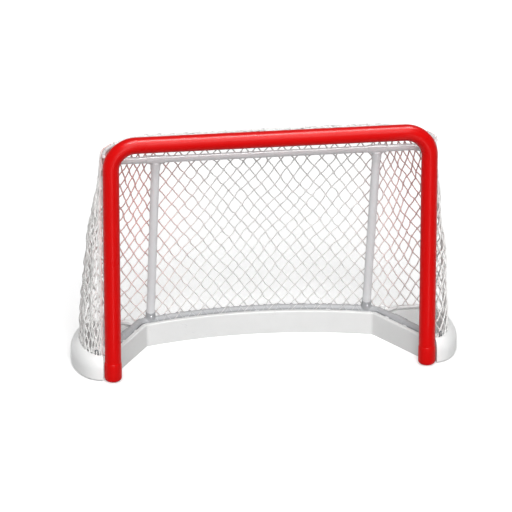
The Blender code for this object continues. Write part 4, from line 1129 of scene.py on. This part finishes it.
def diamond_net(top, bottom, wide, high, sag, folds, fold_count, belly, crowding=1.0):
    """Skins of twine for a panel of diamond meshes between two edges, wide and high in whole meshes.

    The crossings lie on a grid of half meshes. sag and folds move them in the panel and square to it,
    belly moves the middle of the panel square to it, and crowding gathers it towards its first end.
    """
    columns, rows = 2 * wide, 2 * high
    upper, lower = even(top, columns + 1, crowding), even(bottom, columns + 1, crowding)
    share = np.linspace(0, 1, rows + 1)[:, None, None]
    grid = upper[None] * (1 - share) + lower[None] * share
    along = unit(np.gradient(grid, axis=1))
    down = unit(np.gradient(grid, axis=0))
    normal = unit(np.cross(along, down))
    t = np.linspace(0, 1, rows + 1)[:, None]
    s = np.linspace(0, 1, columns + 1)[None, :]
    # The twine keeps its place at the panel's edges, and is free about a fifth of the way in.
    hold = np.minimum(1.0, 4.5 * t) * np.minimum(1.0, 4.5 * (1 - t))
    ends = np.minimum(1.0, 5 * s) * np.minimum(1.0, 5 * (1 - s))
    shape = (rows + 1, columns + 1)

    def wander(size, across_count, down_count):
        return slow_waves(shape, across_count, down_count) * size * hold * ends

    level_move = wander(sag, 5, 6) + wander(sag * 0.5, columns // 2, rows // 2)
    down_move = wander(sag, 5, 6) + wander(sag * 0.5, columns // 2, rows // 2)
    phase = slow_waves(shape, 3, 3) * 1.2
    out_move = folds * np.sin(2 * math.pi * fold_count * s + phase) * (0.35 + 0.65 * hold) * ends
    out_move = out_move + wander(sag * 0.8, 6, 7) + belly * np.sin(math.pi * t) * np.sin(math.pi * s)
    grid = grid + along * level_move[..., None] + down * down_move[..., None] + normal * out_move[..., None]

    chunks = []
    inner = np.array([0.0, 0.25, 0.5, 0.75])
    bow = np.sin(math.pi * inner)[:, None]
    starts = [(r, 0, 1) for r in range(rows)] + [(0, c, 1) for c in range(1, columns)]
    starts += [(r, columns, -1) for r in range(rows)] + [(0, c, -1) for c in range(1, columns)]
    for r, c, step in starts:
        if (r + c) % 2:
            continue
        path, outward = [], []
        while 0 <= c + step <= columns and r + 1 <= rows:
            a, b = grid[r, c], grid[r + 1, c + step]
            loose = net_draw.normal(size=3) * TWINE_SLACK * 0.5 - np.array((0, 0, TWINE_SLACK * 0.35))
            path.append(a + (b - a) * inner[:, None] + bow * loose)
            outward.append(np.repeat(normal[r, c][None], len(inner), axis=0))
            r, c = r + 1, c + step
        path.append(grid[r, c][None])
        outward = np.concatenate(outward + [normal[r, c][None]])
        lift = outward * (TWINE_RADIUS * 0.55 * step)
        chunks.append(rod(np.concatenate(path) + lift, TWINE_RADIUS, TWINE_SIDES, outward))

    template, knot_faces, knot_marks = knot_skin()
    picks = [(r, c) for r in range(rows + 1) for c in range(columns + 1) if (r + c) % 2 == 0]
    points = []
    for r, c in picks:
        turn = net_draw.uniform(-0.4, 0.4) + (math.pi if net_draw.random() < 0.5 else 0.0)
        size = net_draw.uniform(0.9, 1.15)
        a = along[r, c] * math.cos(turn) + down[r, c] * math.sin(turn)
        b = np.cross(normal[r, c], a)
        knot = template[:, :1] * a + template[:, 1:2] * b + template[:, 2:] * normal[r, c]
        points.append(grid[r, c] + size * knot)
    all_faces = np.concatenate([knot_faces + i * len(template) for i in range(len(picks))])
    chunks.append((np.concatenate(points), all_faces, [], np.tile(knot_marks, (len(picks), 1, 1))))
    return chunks


net_foot = TUBE_HEIGHT - BOW_RADIUS
net_seam = REAR_POST_X + SEAT
side_top = [p for p in net_bow_line(NET_BOW_OFFSET, rod_spot.y) if p.x > net_seam]
side_top.append(Vector((net_seam, net_bow_y(net_seam) + NET_BOW_OFFSET, NET_BOW_HEIGHT)))
flared = [p for p in flare(SIDE_NET_OFFSET) if p.y > FLARE_Y or p.x > POST_X + BOOT_RADIUS + 4 * SEAT]
rear_y = rear_tube_y(WALL_CORNER_X)
corner_out = REAR_NET_OFFSET * WALL_CORNER_X / TUBE_ARC_RADIUS / 2
side_bottom = flared[::-1] + [
    Vector((WALL_CORNER_X + BUMPER_SEAM_SHIFT, rear_y + SIDE_NET_OFFSET, 0)),
    Vector((WALL_CORNER_X + corner_out, rear_y + REAR_NET_OFFSET, 0)),
    Vector((net_seam, rear_tube_y(net_seam) + REAR_NET_OFFSET, 0))]
side_bottom = lifted(side_bottom, net_foot)
back_xs = [net_seam * (1 - i / 24) for i in range(49)]
back_top = [Vector((x, net_bow_y(x) + NET_BOW_OFFSET, NET_BOW_HEIGHT)) for x in back_xs]
back_bottom = [Vector((x, rear_tube_y(x) + REAR_NET_OFFSET, net_foot)) for x in back_xs]


def hang(name, meshes, twine, node_name, **form):
    """A panel of netting as a piece, from its edges and its meshes, and how it sags, folds and bellies."""
    piece(name, diamond_net(*meshes, **form), twine, node_name, sharp_degrees=None)


hang("back_net", (back_top, back_bottom, BACK_MESHES, NET_ROWS), net_twine, "net_back",
     sag=0.0048, folds=0.002, fold_count=3.0, belly=-0.006)
hang("side_net_right", (side_top, side_bottom, RIGHT_MESHES, NET_ROWS), net_twine, "net_right",
     sag=0.0045, folds=0.006, fold_count=4.5, belly=-0.028)
hang("side_net_left", (mirrored(side_top), mirrored(side_bottom), LEFT_MESHES, NET_ROWS), net_twine,
     "net_left", sag=0.0045, folds=0.005, fold_count=5.5, belly=0.022, crowding=LEFT_CROWDING)


def crown_height(x):
    """The height of the front pipe's axis across the top and round its bends."""
    past = max(0.0, abs(x) - POST_X + PIPE_BEND)
    return CROSSBAR_Z - PIPE_BEND + math.sqrt(PIPE_BEND ** 2 - past ** 2)


TOP_HALF = POST_X - 0.02515
top_xs = [TOP_HALF * (1 - i / 30) for i in range(61)]
top_front = [Vector((x, ROD_BEHIND, crown_height(x) + cord_reach(ROD_RADIUS) + NET_LIFT)) for x in top_xs]
top_rear = [Vector((x, net_bow_y(x), NET_BOW_HEIGHT + NET_BOW_OFFSET)) for x in top_xs]
hang("top_net", (top_front, top_rear, TOP_MESHES, TOP_ROWS), clear_twine, "net_top",
     sag=0.002, folds=0.001, fold_count=3.0, belly=-0.002)

# The foot of the back net's meshes, looped round the base tube, each loop leaning the other way. Their twine
# is coloured darker than the net's, as painted shade on the band round the tube.
LOOP_WIRE = 0.0014
LOOP_LEAN = 0.010
LOOP_UNEVEN = 0.003
LOOP_MARGIN = 0.999  # keeps the outer loops just inside the seams of the back net
LOOP_STEPS = 28
edge_twine_painted_shade = corded("edge_cord_painted_shade", (0.60, 0.61, 0.62), crease_shade_colour=(0.40, 0.41, 0.42), lay=0.010)
loop_reach = TUBE_RADIUS + SEAT + LOOP_WIRE
loops = []
for i in range(2 * BACK_MESHES + 1):
    centre, ahead = base_tube_at(net_seam * (1 - i / BACK_MESHES) * LOOP_MARGIN)
    out = UP.cross(ahead).normalized()
    lean = ahead * ((-1) ** i * LOOP_LEAN + net_draw.uniform(-LOOP_UNEVEN, LOOP_UNEVEN))
    ring = [centre + out * loop_reach * math.cos(turn) + UP * loop_reach * math.sin(turn)
            + lean * math.sin(turn) for turn in np.linspace(0, 2 * math.pi, LOOP_STEPS + 1)]
    loops.append(rod(ring, LOOP_WIRE, TWINE_SIDES))
piece("edge_loops", loops, edge_twine_painted_shade, None, sharp_degrees=None)


# Lacing
# White twisted cord, wound round the rods, the net bow, the base tube and the side bows in long turns,
# through the edge meshes of the net, and tied off at its ends.
LACING_STEPS = 28
LACING_CLEAR = 0.012
CORD_SIDES = 8
lacing_cord = corded("lacing_cord", (0.70, 0.69, 0.68), crease_shade_colour=(0.45, 0.44, 0.43), lay=0.010)


def wound(name, path, radius, level, first_turn, node_name):
    """A cord that spirals along a rod just off its surface."""
    lengths = run_lengths(path)
    reach = radius + LACING_GAP + CORD_RADIUS
    count = round(lengths[-1] / LACING_PITCH * LACING_STEPS)
    route = []
    for i in range(count + 1):
        along = lengths[-1] * i / count
        point, ahead = at_length(path, along, lengths)
        side = ahead.cross(level).normalized()
        turn = 2 * math.pi * (along / LACING_PITCH + first_turn)
        route.append(point + side * reach * math.cos(turn) + level * reach * math.sin(turn))
    piece(name, [rod(route, CORD_RADIUS, CORD_SIDES)], lacing_cord, node_name,
          sharp_degrees=None)


bow_stretch = whole(net_bow_line(0.0, rod_spot.y + LACING_CLEAR))
wound("bow_lacing", bow_stretch, NET_BOW_RADIUS, UP, 0.0, "lacing_bow")
base_stretch = part_of(base_path, base_total / 2 - 4 * LACING_PITCH, base_total / 2 + 4 * LACING_PITCH)
wound("base_lacing", base_stretch, TUBE_RADIUS, UP, 0.5, "lacing_base")
foot_stretch = part_of(bow_path, LACING_PITCH / 2, run_lengths(bow_path)[-1] - 2 * LACING_CLEAR)
for side_name, path in both_sides(foot_stretch):
    wound(f"foot_lacing_{side_name}", path, BOW_RADIUS, UP, 0.0, f"lacing_side_{side_name}")
for side_name, (low, high, away) in both_sides([rod_low, rod_high, -to_post]):
    wound(f"post_lacing_{side_name}", [low, high], ROD_RADIUS, away, 0.75, f"lacing_post_{side_name}")
wound("crossbar_lacing", [top_left, top_right], ROD_RADIUS, BACK, 0.75, "lacing_top")


# Net staples
# A dark wire loop on the front end of each side bumper, which keeps the foot of the net against it.
# It is bent from steel wire, and its two legs stand on the top of the moulding.
STAPLE_WIRE = 0.0016
STAPLE_SIDES = 16
STAPLE_WIDTH = 0.010
STAPLE_RISE = 0.019
STAPLE_FROM_END = 0.020
dark_wire = bare_metal("dark_wire", (0.07, 0.08, 0.09), worn=(0.30, 0.30, 0.31), roughness=0.38,
                       tone_change=0.2, scuffed=0.7, scuff_size=0.006, rub_dulls=0.2)
line = flare(0)
point, ahead = at_length(line, run_lengths(line)[-1] - STAPLE_FROM_END)
out = UP.cross(ahead).normalized()
middle = point + out * (SIDE_NET_OFFSET + NET_THICKNESS / 2 + SEAT + 2 * STAPLE_WIRE) + UP * BUMPER_HEIGHT
near, far = middle + ahead * STAPLE_WIDTH / 2, middle - ahead * STAPLE_WIDTH / 2
staple_top = UP * STAPLE_RISE
staple_path = rounded([near, near + staple_top, far + staple_top, far], [STAPLE_WIDTH / 3] * 2, steps=8)
for side_name, path in both_sides(staple_path):
    piece(f"wire_loop_{side_name}", [rod(path, STAPLE_WIRE, STAPLE_SIDES)], dark_wire,
          f"net_staple_{side_name}")
